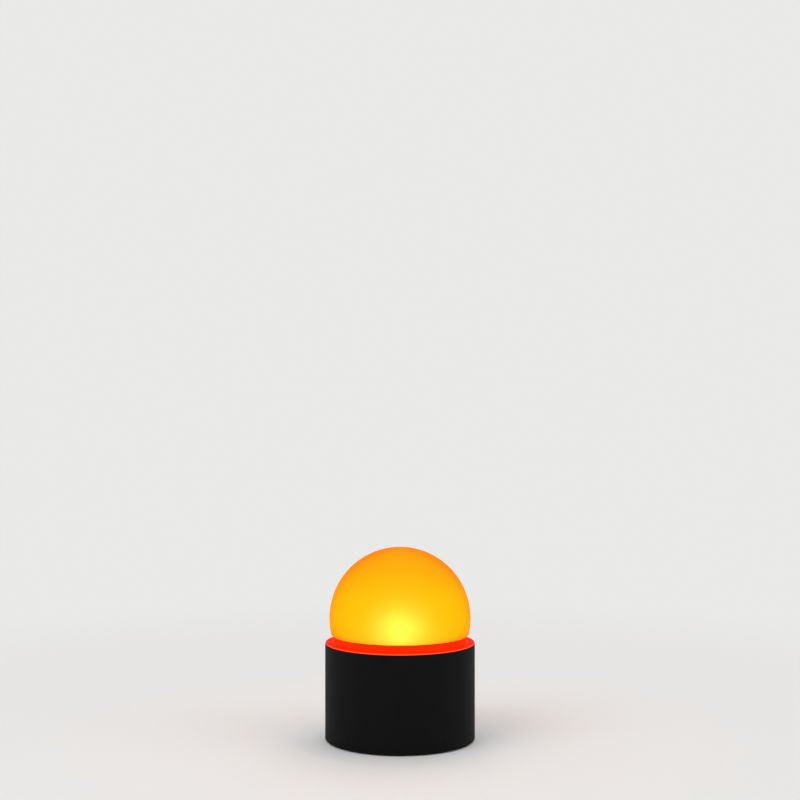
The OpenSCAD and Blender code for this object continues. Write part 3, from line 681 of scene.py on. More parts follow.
@dataclass(frozen=True)
class Finish:
    """A finish: its name, its slot in the record, what the shader's sockets hold, and its cloud and grain.

    The cloud is a slow noise that shades the colour. The grain is a fine one that moves gloss and relief.
    """

    name: str
    slot: str
    colour: Colour
    roughness: float = 0.5
    metallic: float = 0.0
    specular: float = 0.5
    ior: float = 1.5
    transmission: float = 0.0
    tint: Colour = (1.0, 1.0, 1.0)
    cloud: float = 9.0
    cloud_detail: float = 2.0
    shades: Point = (0.86, 1.08)
    grain: float = 0.2
    grain_detail: float = 2.0
    lines: Triple = (1.0, 1.0, 1.0)
    polish: Point = (0.8, 1.25)
    depth: float = 0.004

    def material(self) -> bpy.types.Material:
        """Makes the material at its first use.

        Returns:
            The finish's one material.
        """
        made = bpy.data.materials.get(self.name)
        if made is None:
            made = bpy.data.materials.new(self.name)
            board = NodeBoard(made)
            board.fix({
                "Base Color": (*self.colour, 1.0), "Roughness": self.roughness, "Metallic": self.metallic,
                "Specular IOR Level": self.specular, "IOR": self.ior,
                "Transmission Weight": self.transmission, "Specular Tint": (*self.tint, 1.0),
            })
            self.dress(board)
            self.light(board)
        return made

    def shade(self, share: float) -> Colour:
        """Gives the finish's colour, darker or lighter."""
        return tuple(min(1.0, c * share) for c in self.colour)

    def tone(self, board: NodeBoard, share: Socket) -> None:
        """Lets the surface's colour run from the darker to the lighter shade."""
        board.feed("Base Color", board.mixed(share, *(self.shade(s) for s in self.shades)))

    def gloss(self, board: NodeBoard, noise: Socket) -> None:
        """Lets the surface's gloss follow a noise."""
        ends = (self.roughness * share for share in self.polish)
        board.feed("Roughness", board.ranged(noise, *NOISE_SPAN, *ends))

    def dress(self, board: NodeBoard) -> None:
        """Adds the cloud to the colour, and the grain to gloss and relief.

        Args:
            board: The nodes of the new material.
        """
        self.tone(board, board.noise(self.cloud, self.cloud_detail))
        grain = board.noise(self.grain, self.grain_detail, board.stretched(self.lines))
        self.gloss(board, grain)
        if self.depth:
            board.relief(grain, self.depth)

    def light(self, board: NodeBoard) -> None:
        """Adds what a lit finish gives off; the others stay as they are."""


@dataclass(frozen=True)
class Moulding(Finish):
    """Moulded plastic or rubber with a fine grain and faint blotches."""

    cloud: float = 18.0
    cloud_detail: float = 4.0
    grain: float = 0.35
    grain_detail: float = 3.0
    depth: float = 0.02
    spread: float = 0.2
    gloss_span: Point = (0.35, 0.65)
    glossier: float = 0.4
    duller: float = 0.3

    def dress(self, board: NodeBoard) -> None:
        """Adds blotches to colour and gloss, and the grain to the relief.

        Args:
            board: The nodes of the new material.
        """
        blotch = board.noise(self.cloud, self.cloud_detail)
        share = board.ranged(blotch, *NOISE_SPAN, 0.0, 1.0)
        board.feed("Base Color", board.mixed(share, self.shade(1 - self.spread), self.shade(1 + self.spread)))
        glossy = self.roughness * (1 - self.glossier * self.spread)
        matt = self.roughness * (1 + self.duller * self.spread)
        board.feed("Roughness", board.ranged(blotch, *self.gloss_span, glossy, matt))
        board.relief(board.noise(self.grain, self.grain_detail), self.depth)


@dataclass(frozen=True)
class LitDish(Moulding):
    """White moulded plastic with a painted glow for the light of a circle of LEDs falling on it."""

    circle: float = 40.0
    reach: float = 24.0
    least: float = 0.25
    glow: Colour = (1.0, 0.55, 0.12)
    power: float = 0.12

    def light(self, board: NodeBoard) -> None:
        """Adds a painted pool of light that fades on both sides of the circle of LEDs.

        Args:
            board: The nodes of the new material.
        """
        away = board.maths("ABSOLUTE", board.maths("SUBTRACT", board.reach(), self.circle * MM))
        near = board.ranged(away, 0.0, self.reach * MM, 1.0, self.least)
        board.glow(board.mixed(near, (0.0, 0.0, 0.0), self.glow), self.power)


@dataclass(frozen=True)
class Metal(Finish):
    """Plated, drawn or rolled metal with fine lines along one way."""

    metallic: float = 1.0
    lines: Triple = (1.0, 1.0, 0.03)


@dataclass(frozen=True)
class Casting(Finish):
    """Cast metal with a sandy skin and duller hollows."""

    metallic: float = 1.0
    cloud: float = 12.0
    cloud_detail: float = 3.0
    shades: Point = (0.8, 1.05)
    grain: float = 0.5
    grain_detail: float = 4.0
    polish: Point = (1.15, 0.85)
    depth: float = 0.04


class Tracks(Enum):
    """How the copper runs on a circuit board."""

    ROUND = "round"
    SQUARE = "square"


@dataclass(frozen=True)
class SolderMask(Finish):
    """A lacquered circuit board whose copper tracks show through."""

    shades: Point = (1.0, 1.25)
    grain: float = 0.4
    polish: Point = (1.0, 1.3)
    depth: float = 0.03
    tracks: Tracks = Tracks.SQUARE
    pitch: float = 0.9
    patch: float = 5.4
    track_edge: Point = (0.55, 0.65)

    def dress(self, board: NodeBoard) -> None:
        """Adds tracks to colour and relief, and the lacquer's grain to the gloss.

        Args:
            board: The nodes of the new material.
        """
        if self.tracks is Tracks.ROUND:
            across = board.reach()
        else:
            patch = {0: board.place, 1: (self.patch * MM,) * 3}
            cells = board.add("ShaderNodeVectorMath", patch, operation="SNAP").outputs[0]
            chance = board.add("ShaderNodeTexWhiteNoise", {"Vector": cells}).outputs[0]
            upright = board.maths("GREATER_THAN", chance, 0.5)
            x, _, z = board.axes()
            across = board.add("ShaderNodeMix", {0: upright, 2: x, 3: z}, data_type="FLOAT").outputs[0]
        wave = board.maths("PINGPONG", across, self.pitch * MM)
        track = board.ranged(wave, *(edge * self.pitch * MM for edge in self.track_edge), 0.0, 1.0)
        self.tone(board, track)
        self.gloss(board, board.noise(self.grain, self.grain_detail))
        board.relief(track, self.depth)


@dataclass(frozen=True)
class Clear(Finish):
    """Clear or milky plastic with a faint haze, and an even glow: an LED's own light, or painted light on a
    part that only passes it on.
    """

    cloud: float = 1.2
    cloud_detail: float = 3.0
    shades: Point = (0.96, 1.0)
    grain: float = 1.2
    grain_detail: float = 3.0
    polish: Point = (0.8, 1.2)
    depth: float = 0.0
    glow: Colour = (0.0, 0.0, 0.0)
    power: float = 0.0
    drift: float = 3.0
    faint: float = 0.88

    def light(self, board: NodeBoard) -> None:
        """Adds the glow with a slow drift; without power there is none."""
        faint = tuple(self.faint * c for c in self.glow)
        board.glow(board.mixed(board.noise(self.drift), faint, self.glow), self.power)


@dataclass(frozen=True)
class LitTube(Clear):
    """Milky plastic with a painted glow for the light inside it, hottest at a height and warmer and fainter
    towards both ends.
    """

    low: float = 106.6
    high: float = 122.0
    rows: Glow = ()

    def light(self, board: NodeBoard) -> None:
        """Adds the painted glow by height."""
        board.glow(board.ramp(board.level(self.low, self.high), self.rows), self.power)


@dataclass(frozen=True)
class LitRing(Finish):
    """Translucent red acrylic that glows all through, with painted shade beside the globe and a painted
    highlight along its lip.
    """

    cloud: float = 7.0
    shades: Point = (0.9, 1.0)
    grain: float = 0.8
    grain_detail: float = 3.0
    polish: Point = (0.85, 1.2)
    depth: float = 0.006
    inner: float = 70.6
    outer: float = 79.1
    painted_shade_width: float = 2.5
    # Painted shade under the globe's edge; the mottle also leans towards it
    deep: Colour = (0.5, 0.02, 0.0)
    bright: Colour = (0.78, 0.012, 0.0)
    # Painted highlight along the rounded lip
    pale: Colour = (0.85, 0.085, 0.025)
    lip: float = 0.7
    mottle: float = 0.1
    power: float = 1.0

    def light(self, board: NodeBoard) -> None:
        """Adds the glow from the seat outwards, with painted shade at the seat and a painted highlight on the
        lip, faintly mottled.

        Args:
            board: The nodes of the new material.
        """
        radius = board.reach()
        # Painted shade at the seat, under the globe, fading out across its band
        out = board.ranged(radius, self.inner * MM, (self.inner + self.painted_shade_width) * MM, 0.0, 1.0)
        # Painted highlight on the lip
        start, end = self.outer - self.lip, self.outer - self.lip / 3
        lip = board.ranged(radius, start * MM, end * MM, 0.0, 1.0)
        glow = board.mixed(lip, board.mixed(out, self.deep, self.bright), self.pale)
        faint = board.mixed(self.mottle, glow, self.deep)
        board.glow(board.mixed(board.noise(self.cloud), faint, glow), self.power)


@dataclass(frozen=True)
class LitGlobe(Finish):
    """Frosted amber acrylic: both skins glow, and the outer one shows a blurred view of the light inside."""

    cloud: float = 30.0
    shades: Point = (0.94, 1.0)
    grain: float = 0.25
    grain_detail: float = 3.0
    polish: Point = (0.95, 1.05)
    depth: float = 0.008
    centre: float = 128.6
    skin: float = 73.5
    skin_blend: float = 0.4
    foot: float = 110.6
    neck_fade: float = 4.0
    crown: float = 203.6
    # Glow by height, brighter near the foot: painted fall-off of the light from the engine below
    rows: Glow = ()
    inner_glow: Colour = (1.0, 0.78, 0.0)
    power: float = 1.2
    coat_ior: float = 1.03
    coat_roughness: float = 0.6
    coat_tint: Colour = (1.0, 0.95, 0.8)

    def light(self, board: NodeBoard) -> None:
        """Lets each skin glow on its open side, under a thin coat that deepens the globe's edge. The outer
        glow is painted brighter near the foot, for the fall-off of the light from below.

        Args:
            board: The nodes of the new material.
        """
        board.fix({
            "Coat Weight": 1.0, "Coat IOR": self.coat_ior, "Coat Roughness": self.coat_roughness,
            "Coat Tint": (*self.coat_tint, 1.0),
        })
        start, end = self.skin - self.skin_blend, self.skin + self.skin_blend
        outside = board.ranged(board.reach(self.centre), start * MM, end * MM, 0.0, 1.0)
        neck = board.ranged(board.axes()[2], self.foot * MM, (self.foot + self.neck_fade) * MM, 1.0, 0.0)
        # Painted fall-off: the outer skin's glow dims from the foot to the crown
        by_height = board.ramp(board.level(self.foot, self.crown), self.rows)
        glow = board.mixed(board.maths("MAXIMUM", outside, neck), self.inner_glow, by_height)
        in_wall = board.add("ShaderNodeNewGeometry", {}).outputs["Backfacing"]
        board.glow(board.mixed(in_wall, glow, (0.0, 0.0, 0.0)), self.power)


# The lamp's finishes

HOUSING = Moulding(
    "Matt black moulding", "housing_black", (0.0052, 0.005, 0.0056), 0.62, specular=0.06, depth=0.03,
    spread=0.07,
)
BEZEL = Moulding(
    "Satin black insert", "bezel_black", (0.012, 0.0115, 0.0125), 0.42, specular=0.4, grain=0.2, depth=0.006,
)
BUTTON = Moulding(
    "Satin black key", "button_black", (0.016, 0.0155, 0.017), 0.4, specular=0.4, grain=0.2, depth=0.006,
)
MARK = Moulding(
    "Grey key mark", "button_black", (0.42, 0.42, 0.43), 0.5, grain=0.15, depth=0.004, spread=0.06,
)
INNER = Moulding("Plain black moulding", "inner_black", (0.022, 0.022, 0.024), 0.5, specular=0.4, depth=0.012)
RUBBER = Moulding(
    "Matt foot rubber", "foot_rubber", (0.028, 0.028, 0.029), 0.85, specular=0.3, grain=0.25, depth=0.03,
)
SILICONE = Moulding(
    "Dark red silicone", "gasket_silicone", (0.05, 0.006, 0.003), 0.5, specular=0.2, depth=0.008,
)
CERAMIC = Moulding(
    "White LED package", "white_board", (0.82, 0.82, 0.78), 0.45, grain=0.2, depth=0.004, spread=0.04,
)
SLEEVE = Moulding(
    "Shrunk cell film", "cell_sleeve", (0.03, 0.16, 0.42), 0.25, grain=2.0, depth=0.01, spread=0.1,
)
BLACK_JACKET = Moulding("Black wire jacket", "lead_black", (0.018, 0.018, 0.018), 0.45, grain=0.3, depth=0.01)
RED_JACKET = Moulding("Red wire jacket", "lead_red", (0.32, 0.015, 0.012), 0.45, grain=0.3, depth=0.01)
FERRITE = Moulding("Grey ferrite", "inner_black", (0.045, 0.045, 0.048), 0.6, grain=0.3, depth=0.02)
IVORY = Moulding(
    "Ivory connector", "plunger_white", (0.68, 0.63, 0.5), 0.42, grain=0.3, depth=0.006, spread=0.05,
)
PLUNGER = Moulding(
    "White plunger", "plunger_white", (0.7, 0.7, 0.66), 0.4, grain=0.3, depth=0.006, spread=0.05,
)
# The dish's glow is painted light from the amber LEDs; the dish gives no light of its own
REFLECTOR = LitDish(
    "Satin white dish", "reflector_white", (0.66, 0.65, 0.62), 0.35, grain=0.5, depth=0.004, spread=0.03,
)
SCREW = Metal("Zinc plated screw", "screw_steel", (0.62, 0.62, 0.63), 0.3)
BALLAST = Metal("Zinc plated plate", "ballast_steel", (0.42, 0.43, 0.44), 0.42, lines=(0.03, 1.0, 1.0))
SHELL_STEEL = Metal("Drawn socket steel", "socket_steel", (0.6, 0.6, 0.61), 0.28, lines=(1.0, 0.03, 1.0))
GOLD = Metal("Gold flashed contact", "contact_plate", (0.78, 0.58, 0.24), 0.25, lines=(1.0, 0.05, 1.0))
SPRING_PLATE = Metal("Plated spring metal", "contact_plate", (0.66, 0.6, 0.42), 0.3)
COPPER = Metal("Lacquered copper wire", "contact_plate", (0.72, 0.34, 0.16), 0.28, lines=(1.0, 0.05, 1.0))
CAN = Metal("Drawn can", "screw_steel", (0.68, 0.69, 0.71), 0.32, lines=(1.0, 0.05, 1.0))
SOLDER = Metal(
    "Solder", "screw_steel", (0.66, 0.67, 0.68), 0.35, lines=(1.0, 1.0, 1.0), grain=0.5, depth=0.02,
)
ALUMINIUM = Casting("Cast aluminium", "cast_aluminium", (0.6, 0.61, 0.63), 0.48)
WHITE_BOARD = SolderMask(
    "White solder mask", "white_board", (0.72, 0.73, 0.71), 0.4, tracks=Tracks.ROUND, pitch=2.2,
)
GREEN_BOARD = SolderMask("Green solder mask", "green_board", (0.018, 0.12, 0.05), 0.35)
AMBER_DOME = Clear("Lit amber resin", "amber_led", (1.0, 0.62, 0.1), 0.2, glow=(1.0, 0.45, 0.04), power=2.0)
RED_FACE = Clear("Lit red resin", "red_led", (1.0, 0.1, 0.04), 0.25, glow=(1.0, 0.04, 0.01), power=3.0)
BEAM_DOME = Clear("Lit beam resin", "red_led", (1.0, 0.5, 0.3), 0.2, glow=(1.0, 0.5, 0.2), power=6.0)
# The lens's glow is painted light from the beam LED below it
LENS = Clear(
    "Polished clear lens", "clear_lens", (1.0, 0.97, 0.9), 0.08, ior=1.49, transmission=0.7,
    glow=(1.0, 0.9, 0.7), power=1.0,
)
PIPE = Clear("Frosted light pipe", "clear_lens", (0.9, 0.92, 0.92), 0.35, ior=1.49, transmission=0.5)
# The holder's glow is painted: a hot band for the beam LED's light in it, seen through the globe
MILKY = LitTube(
    "Milky holder", "holder_milky", (0.62, 0.58, 0.48), 0.4, power=20.0,
    rows=(
        (0.0, (0.025, 0.014, 0.004)), (0.36, (0.06, 0.04, 0.02)), (0.48, (0.5, 0.43, 0.4)),
        (0.62, (0.85, 0.81, 1.0)), (0.78, (0.5, 0.43, 0.4)), (0.92, (0.06, 0.04, 0.02)),
        (1.0, (0.025, 0.014, 0.004)),
    ),
)
RING = LitRing(
    "Lit red acrylic", "ring_acrylic", (0.85, 0.008, 0.001), 0.48, specular=0.02, ior=1.3,
    tint=(1.0, 0.1, 0.03),
)
GLOBE = LitGlobe(
    "Frosted amber acrylic", "globe_amber", (1.0, 0.5, 0.13), 0.96, specular=0.3, ior=1.25, transmission=1.0,
    tint=(1.0, 0.5, 0.05),
    # Painted fall-off of the inner light: yellower near the foot, deeper orange towards the crown
    rows=(
        (0.0, (0.5, 0.2, 0.01)), (0.07, (0.5, 0.21, 0.0)), (0.155, (0.5, 0.215, 0.0)),
        (0.25, (0.5, 0.205, 0.0)), (0.36, (0.5, 0.18, 0.0)), (0.46, (0.5, 0.16, 0.0)),
        (0.56, (0.5, 0.13, 0.0)), (0.67, (0.5, 0.088, 0.0)), (0.78, (0.5, 0.055, 0.0)),
        (0.87, (0.5, 0.047, 0.0)), (1.0, (0.5, 0.055, 0.0)),
    ),
)


def show(piece: Piece, finish: Finish, *nodes: str, body: Body = Body.BASE) -> None:
    """Gives a piece its finish and its body, and hides the CAD nodes that it stands for.

    Args:
        piece: The finished mesh.
        finish: Its finish.
        nodes: The nodes that it replaces.
        body: The body that it rides on.
    """
    piece.data.materials.clear()
    piece.data.materials.append(finish.material())
    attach(piece, body.value)
    if nodes:
        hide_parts(*nodes)
    LOG.info("%s on %s: %d faces, %s", piece.name, body.value, len(piece.data.polygons), finish.name)


# Sub-assemblies


@dataclass
class GlobeShell:
    """The frosted globe with its rounded shoulder and the neck that plugs into the ring."""

    radius: float = 75.0
    wall: float = 3.0
    centre: float = 128.6
    shoulder: float = 110.6
    shoulder_round: float = 2.5
    shoulder_width: float = 7.7
    neck_bottom: float = 99.6
    neck_chamfer: float = 0.5
    neck_fillet: float = 0.25
    inner_round: float = 1.2
    outer_steps: int = 110
    inner_steps: int = 100
    sides: int = 192

    def section(self) -> Section:
        """Draws the wall from the crown down the outside to the neck and back up the inside.

        Returns:
            An open section that begins and ends on the axis.
        """
        rise = self.centre - self.shoulder
        neck = math.sqrt(self.radius**2 - rise**2) - self.shoulder_width
        bore = neck - self.wall
        inner = self.radius - self.wall
        drop = rise - self.shoulder_round
        reach = math.sqrt((self.radius - self.shoulder_round) ** 2 - drop**2)
        corner = (reach, self.shoulder + self.shoulder_round)
        meets = -math.degrees(math.asin(drop / (self.radius - self.shoulder_round)))
        ledge = self.shoulder + self.wall
        lift = ledge + self.inner_round - self.centre
        hollow = (math.sqrt((inner - self.inner_round) ** 2 - lift**2), ledge + self.inner_round)
        leaves = math.degrees(math.asin(lift / (inner - self.inner_round)))
        fillet = (neck + self.neck_fillet, self.shoulder - self.neck_fillet)
        edge = (bore + self.inner_round, ledge - self.inner_round)
        return [
            (0.0, self.centre + self.radius),
            *arc((0.0, self.centre), self.radius, 90, meets, self.outer_steps)[1:],
            *arc(corner, self.shoulder_round, meets, -90, 14)[1:],
            *arc(fillet, self.neck_fillet, 90, 180, 3),
            (neck, self.neck_bottom + self.neck_chamfer),
            (neck - self.neck_chamfer, self.neck_bottom),
            (bore + self.neck_chamfer, self.neck_bottom),
            (bore, self.neck_bottom + self.neck_chamfer),
            *arc(edge, self.inner_round, 180, 90, 6),
            *arc(hollow, self.inner_round, -90, leaves, 6),
            *arc((0.0, self.centre), inner, leaves, 90, self.inner_steps)[1:-1],
            (0.0, self.centre + inner),
        ]

    def build(self) -> None:
        """Turns and dresses the globe."""
        globe = turn("frosted_globe", self.section(), steps=self.sides)
        show(soften(globe), GLOBE, "globe", body=Body.GLOBE)


@dataclass
class GlowRing:
    """The lit ring on the base's rim, its screw bosses, and the soft collar that grips the globe."""

    bore: float = 67.008
    wall: float = 3.6
    deck: float = 91.6
    rim: float = 102.0
    flange_radius: float = 79.1
    flange: float = 1.4
    spigot: Triple = (74.4, 76.4, 98.0)
    cove: float = 3.6
    seat: float = 109.6
    seat_round: float = 0.6
    soft: float = 0.3
    ring_sides: int = 240
    boss_radius: float = 2.996
    pilot_radius: float = 1.45
    pilot_depth: float = 8.0
    collar_bore: float = 65.408
    collar_sleeve: float = 1.5
    collar_length: float = 8.0
    collar_radius: float = 70.208
    collar: float = 1.0
    collar_sides: int = 192
    bead: float = 0.18
    bead_places: Row = (0.75, 0.5, 0.25)

    def ring(self) -> None:
        """Builds the ring, with its bosses and their pilot holes."""
        out = self.bore + self.wall
        top = self.rim + self.flange
        lip = self.flange / 2
        inner, outer, low = self.spigot
        soft = self.soft
        section = [
            (self.bore, self.deck), (out, self.deck), (out, self.rim), (inner, self.rim), (inner, low + soft),
            (inner + soft, low), (outer - soft, low), (outer, low + soft), (outer, self.rim),
            *arc((self.flange_radius - lip, self.rim + lip), lip, -90, 90, 14),
            *arc((out + self.cove, top + self.cove), self.cove, 270, 180, 20),
            *arc((out - self.seat_round, self.seat - self.seat_round), self.seat_round, 0, 90, 6),
            (self.bore + soft, self.seat), (self.bore, self.seat - soft),
        ]
        ring = turn("lit_ring", section, steps=self.ring_sides)
        spots = RING_CIRCLE.spots()
        bosses = rod("ring_bosses", self.boss_radius, self.deck, self.rim + lip, sides=40)
        carve(ring, copies("ring_bosses", bosses, spots), Carve.ADD)
        start, end = self.deck - OVERRUN, self.deck + self.pilot_depth
        pilots = rod("ring_pilots", self.pilot_radius, start, end, sides=24)
        carve(ring, copies("ring_pilots", pilots, spots))
        show(soften(ring), RING, "glow_ring")

    def gasket(self) -> None:
        """Builds the collar, with grip beads inside its sleeve."""
        low = self.seat - self.collar_length
        high = self.seat + self.collar
        outside = self.collar_bore + self.collar_sleeve
        soft = self.soft
        beads: Section = []
        for share in self.bead_places:
            beads += arc((self.collar_bore, low + share * self.collar_length), self.bead, 90, 270, 6)
        section = [
            (self.collar_bore + soft, low), (outside - soft, low), (outside, low + soft),
            (outside, self.seat), (self.collar_radius - soft / 2, self.seat),
            *arc((self.collar_radius - soft, self.seat + soft), soft, -60, 0, 4),
            *arc((self.collar_radius - soft, high - soft), soft, 0, 90, 4),
            *arc((self.collar_bore + soft, high - soft), soft, 90, 180, 4),
            *beads,
        ]
        collar = turn("neck_collar", section, steps=self.collar_sides)
        show(soften(collar, angle=40), SILICONE, "globe_gasket")

    def build(self) -> None:
        """Builds the ring and the collar."""
        self.ring()
        self.gasket()


@dataclass
class BaseShell:
    """The black housing with its deck, ribs, bosses and rear openings, and its feet."""

    radius: float = 79.5
    wall: float = 3.0
    bottom: float = 1.2
    rim: float = 102.0
    rim_round: float = 0.8
    heel_round: float = 1.2
    well_round: float = 0.35
    bay_round: float = 0.3
    deck_top: float = 91.6
    deck_bottom: float = 88.6
    deck_hole: float = 56.108
    sides: int = 288
    rib: Triple = (11.0, 2.0, 14.0)
    rib_count: int = 6
    rib_overlap: float = 1.5
    boss_radius: float = 4.0
    boss_span: Point = (4.2, 26.2)
    boss_pilot: Point = (1.45, 18.2)
    post_x: float = 16.0
    post_heights: Point = (13.0, 50.0)
    post_radius: float = 3.0
    post_span: Point = (63.0, 75.6)
    post_pilot: Point = (1.15, 70.0)
    screw_hole: float = 1.6
    lead_hole: tuple[float, Point] = (2.2, (0.0, 59.308))
    hole_start: float = 74.0
    pad_front: float = 77.4
    button_hole: float = 6.3
    button_flare: float = 0.3
    button_height: float = 44.0
    button_pad: Point = (10.0, 75.7)
    pipe_hole: float = 1.35
    pipe_flare: float = 0.15
    pipe_height: float = 31.5
    port_height: float = 20.0
    port_hole: Triple = (16.6, 10.8, 3.1)
    port_hole_end: float = 79.0
    port_flare: float = 0.3
    port_pad: tuple[Triple, float] = ((20.4, 14.6, 5.0), 75.4)
    flare_from: float = 0.35
    flare_length: float = 0.5
    flare_overrun: float = 2.0
    foot_radius: float = 8.9
    foot_height: float = 2.0
    foot_circle: float = 60.0
    foot_count: int = 4
    foot_rounds: Point = (0.5, 0.2)
    foot_grooves: Row = (2.2, 4.4, 6.6)
    groove: Triple = (0.35, 0.15, 0.3)

    def shell(self) -> Piece:
        """Shapes the housing from a round bar: a well above the deck, a bay below, a hole between.

        Returns:
            The plain housing.
        """
        shell = rod("base_shell", self.radius, self.bottom, self.rim, sides=self.sides)
        inside = self.radius - self.wall
        ends = ((1, self.deck_top - self.rim), (-1, self.deck_bottom - self.bottom))
        rounds = (
            (self.rim, self.radius, self.rim_round, 7),
            (self.bottom, self.radius, self.heel_round, 9),
            (self.rim, inside, self.well_round, 3),
            (self.bottom, inside, self.bay_round, 3),
        )
        with editing(shell):
            for side, depth in ends:
                pick(shell, facing((0, 0, side)))
                step_in(self.wall)
                draw_out((0, 0, depth))
                step_in(inside - self.deck_hole)
            pick(shell, lambda middle, normal: middle.xy.length < 1)
            bpy.ops.mesh.bridge_edge_loops()
            for height, radius, width, segments in rounds:
                pick(shell, on_rim(radius, height), Part.EDGES)
                round_off(width, segments)
        return shell

    def plate(self, name: str, size: Triple, start: float, end: float, flare: float = 0.0) -> Piece:
        """Makes a rounded bar through the rear wall at the inlet.

        Args:
            name: The bar's name.
            size: Its width, height and corner radius.
            start: Where it begins towards the rear.
            end: Where it ends.
            flare: How far its outer end widens.

        Returns:
            The bar.
        """
        width, height, corner = size
        bar = block(name, (width, end - start, height), (0, (start + end) / 2, self.port_height))
        with editing(bar):
            pick(bar, lambda middle, way: abs(way.y) > FACING, Part.EDGES)
            round_off(corner, segments=8)
            if flare:
                pick(bar, facing(Axis.REAR.value))
                bpy.ops.transform.translate(value=(0, (self.radius - self.flare_from - end) * MM, 0))
                draw_out((0, self.flare_length, 0))
                grow = (1 + 2 * flare / width, 1, 1 + 2 * flare / height)
                bpy.ops.transform.resize(value=grow, center_override=(0, 0, self.port_height * MM))
                draw_out((0, self.flare_overrun, 0))
        return bar

    def gusset(self) -> Piece:
        """Makes one of the ribs under the deck: a block with its inner lower corner cut back.

        Returns:
            The rib.
        """
        width, thick, height = self.rib
        inside = self.radius - self.wall - width
        outside = self.radius - self.wall / 2
        low = self.deck_bottom - height
        high = self.deck_bottom + self.rib_overlap
        size = (outside - inside, thick, high - low)
        rib = block("deck_rib", size, ((inside + outside) / 2, 0, (low + high) / 2))
        with editing(rib):
            bpy.ops.mesh.bisect(
                plane_co=Vector((inside, 0, self.deck_bottom)) * MM, plane_no=(-height, 0, -width),
                use_fill=True, clear_outer=True,
            )
        return rib

    def posts(self, name: str, radius: float, start: float, end: float, sides: int) -> list[Piece]:
        """Sets a bar at each corner of the driver board: its posts, or the tools for their pilot holes."""
        places = [(x, z) for x in (-self.post_x, self.post_x) for z in self.post_heights]
        return [rod(name, radius, start, end, place, Axis.REAR, sides) for place in places]

    def additions(self) -> Piece:
        """Gathers the ribs, bosses and pads that grow from the wall.

        Returns:
            All of them as one tool.
        """
        low, high = self.boss_span
        boss = rod("cover_boss", self.boss_radius, low, high, sides=40)
        reach = self.radius - self.wall / 2 - COVER_CIRCLE.radius
        web = block("boss_web", (reach, self.rib[1], high - low), (reach / 2, 0, (low + high) / 2))
        carve(boss, web, Carve.ADD)
        radius, back = self.button_pad
        return join("housing_additions", [
            copies("cover_bosses", boss, COVER_CIRCLE.spots()),
            copies("deck_ribs", self.gusset(), ring_of(self.rib_count, 0.0)),
            rod("button_pad", radius, back, self.pad_front, (0, self.button_height), Axis.REAR, 64),
            self.plate("port_pad", *self.port_pad, self.pad_front),
            *self.posts("board_post", self.post_radius, *self.post_span, 40),
        ])

    def flared_hole(self, name: str, radius: float, height: float, flare: float) -> Piece:
        """Makes a tool for a round hole in the rear wall whose outer edge is chamfered.

        Args:
            name: The tool's name.
            radius: The hole's radius.
            height: The height of its centre.
            flare: The depth of the chamfer.

        Returns:
            The tool.
        """
        start = self.hole_start
        outside = math.sqrt(self.radius**2 - radius**2)
        wide, end = radius + 2 * flare, outside + self.flare_overrun
        section = [
            (0.0, start), (radius, start), (radius, outside - flare), (wide, outside + flare), (wide, end),
            (0.0, end),
        ]
        return move(turn(name, section, Axis.REAR, steps=64), (0, 0, height))

    def holes(self) -> Piece:
        """Gathers the tools for every hole in the housing.

        Returns:
            All of them as one tool.
        """
        low, high = self.deck_bottom - OVERRUN, self.deck_top + OVERRUN
        tools = []
        for circle in (RING_CIRCLE, SINK_CIRCLE):
            hole = rod("deck_hole", self.screw_hole, low, high, sides=32)
            tools.append(copies("deck_holes", hole, circle.spots()))
        radius, at = self.lead_hole
        tools.append(rod("lead_hole", radius, low, high, at, sides=32))
        radius, end = self.boss_pilot
        pilot = rod("cover_pilot", radius, self.boss_span[0] - OVERRUN, end, sides=24)
        tools.append(copies("cover_pilots", pilot, COVER_CIRCLE.spots()))
        radius, end = self.post_pilot
        tools += self.posts("post_pilot", radius, self.post_span[0] - OVERRUN, end, 24)
        tools.append(self.flared_hole("button_hole", self.button_hole, self.button_height, self.button_flare))
        tools.append(self.flared_hole("pipe_hole", self.pipe_hole, self.pipe_height, self.pipe_flare))
        port = self.plate("port_hole", self.port_hole, self.hole_start, self.port_hole_end, self.port_flare)
        return join("housing_holes", [*tools, port])

    def feet(self) -> None:
        """Builds the foot pads, with grip grooves in their soles."""
        wide, narrow, deep = self.groove
        sole: Section = [(0.0, 0.0)]
        for at in self.foot_grooves:
            sole += [(at - wide, 0.0), (at - narrow, deep), (at + narrow, deep), (at + wide, 0.0)]
        heel, brim = self.foot_rounds
        top = self.foot_height
        pad = turn("grip_foot", [
            *sole, *arc((self.foot_radius - heel, heel), heel, -90, 0, 5),
            *arc((self.foot_radius - brim, top - brim), brim, 0, 90, 3), (0.0, top),
        ], steps=64)
        pads = copies("grip_feet", pad, ring_of(self.foot_count, self.foot_circle))
        show(soften(pads), RUBBER, "foot_pads")

    def build(self) -> None:
        """Builds the housing and the feet."""
        shell = self.shell()
        carve(shell, self.additions(), Carve.ADD)
        carve(shell, self.holes())
        show(soften(shell), HOUSING, "base_housing")
        self.feet()


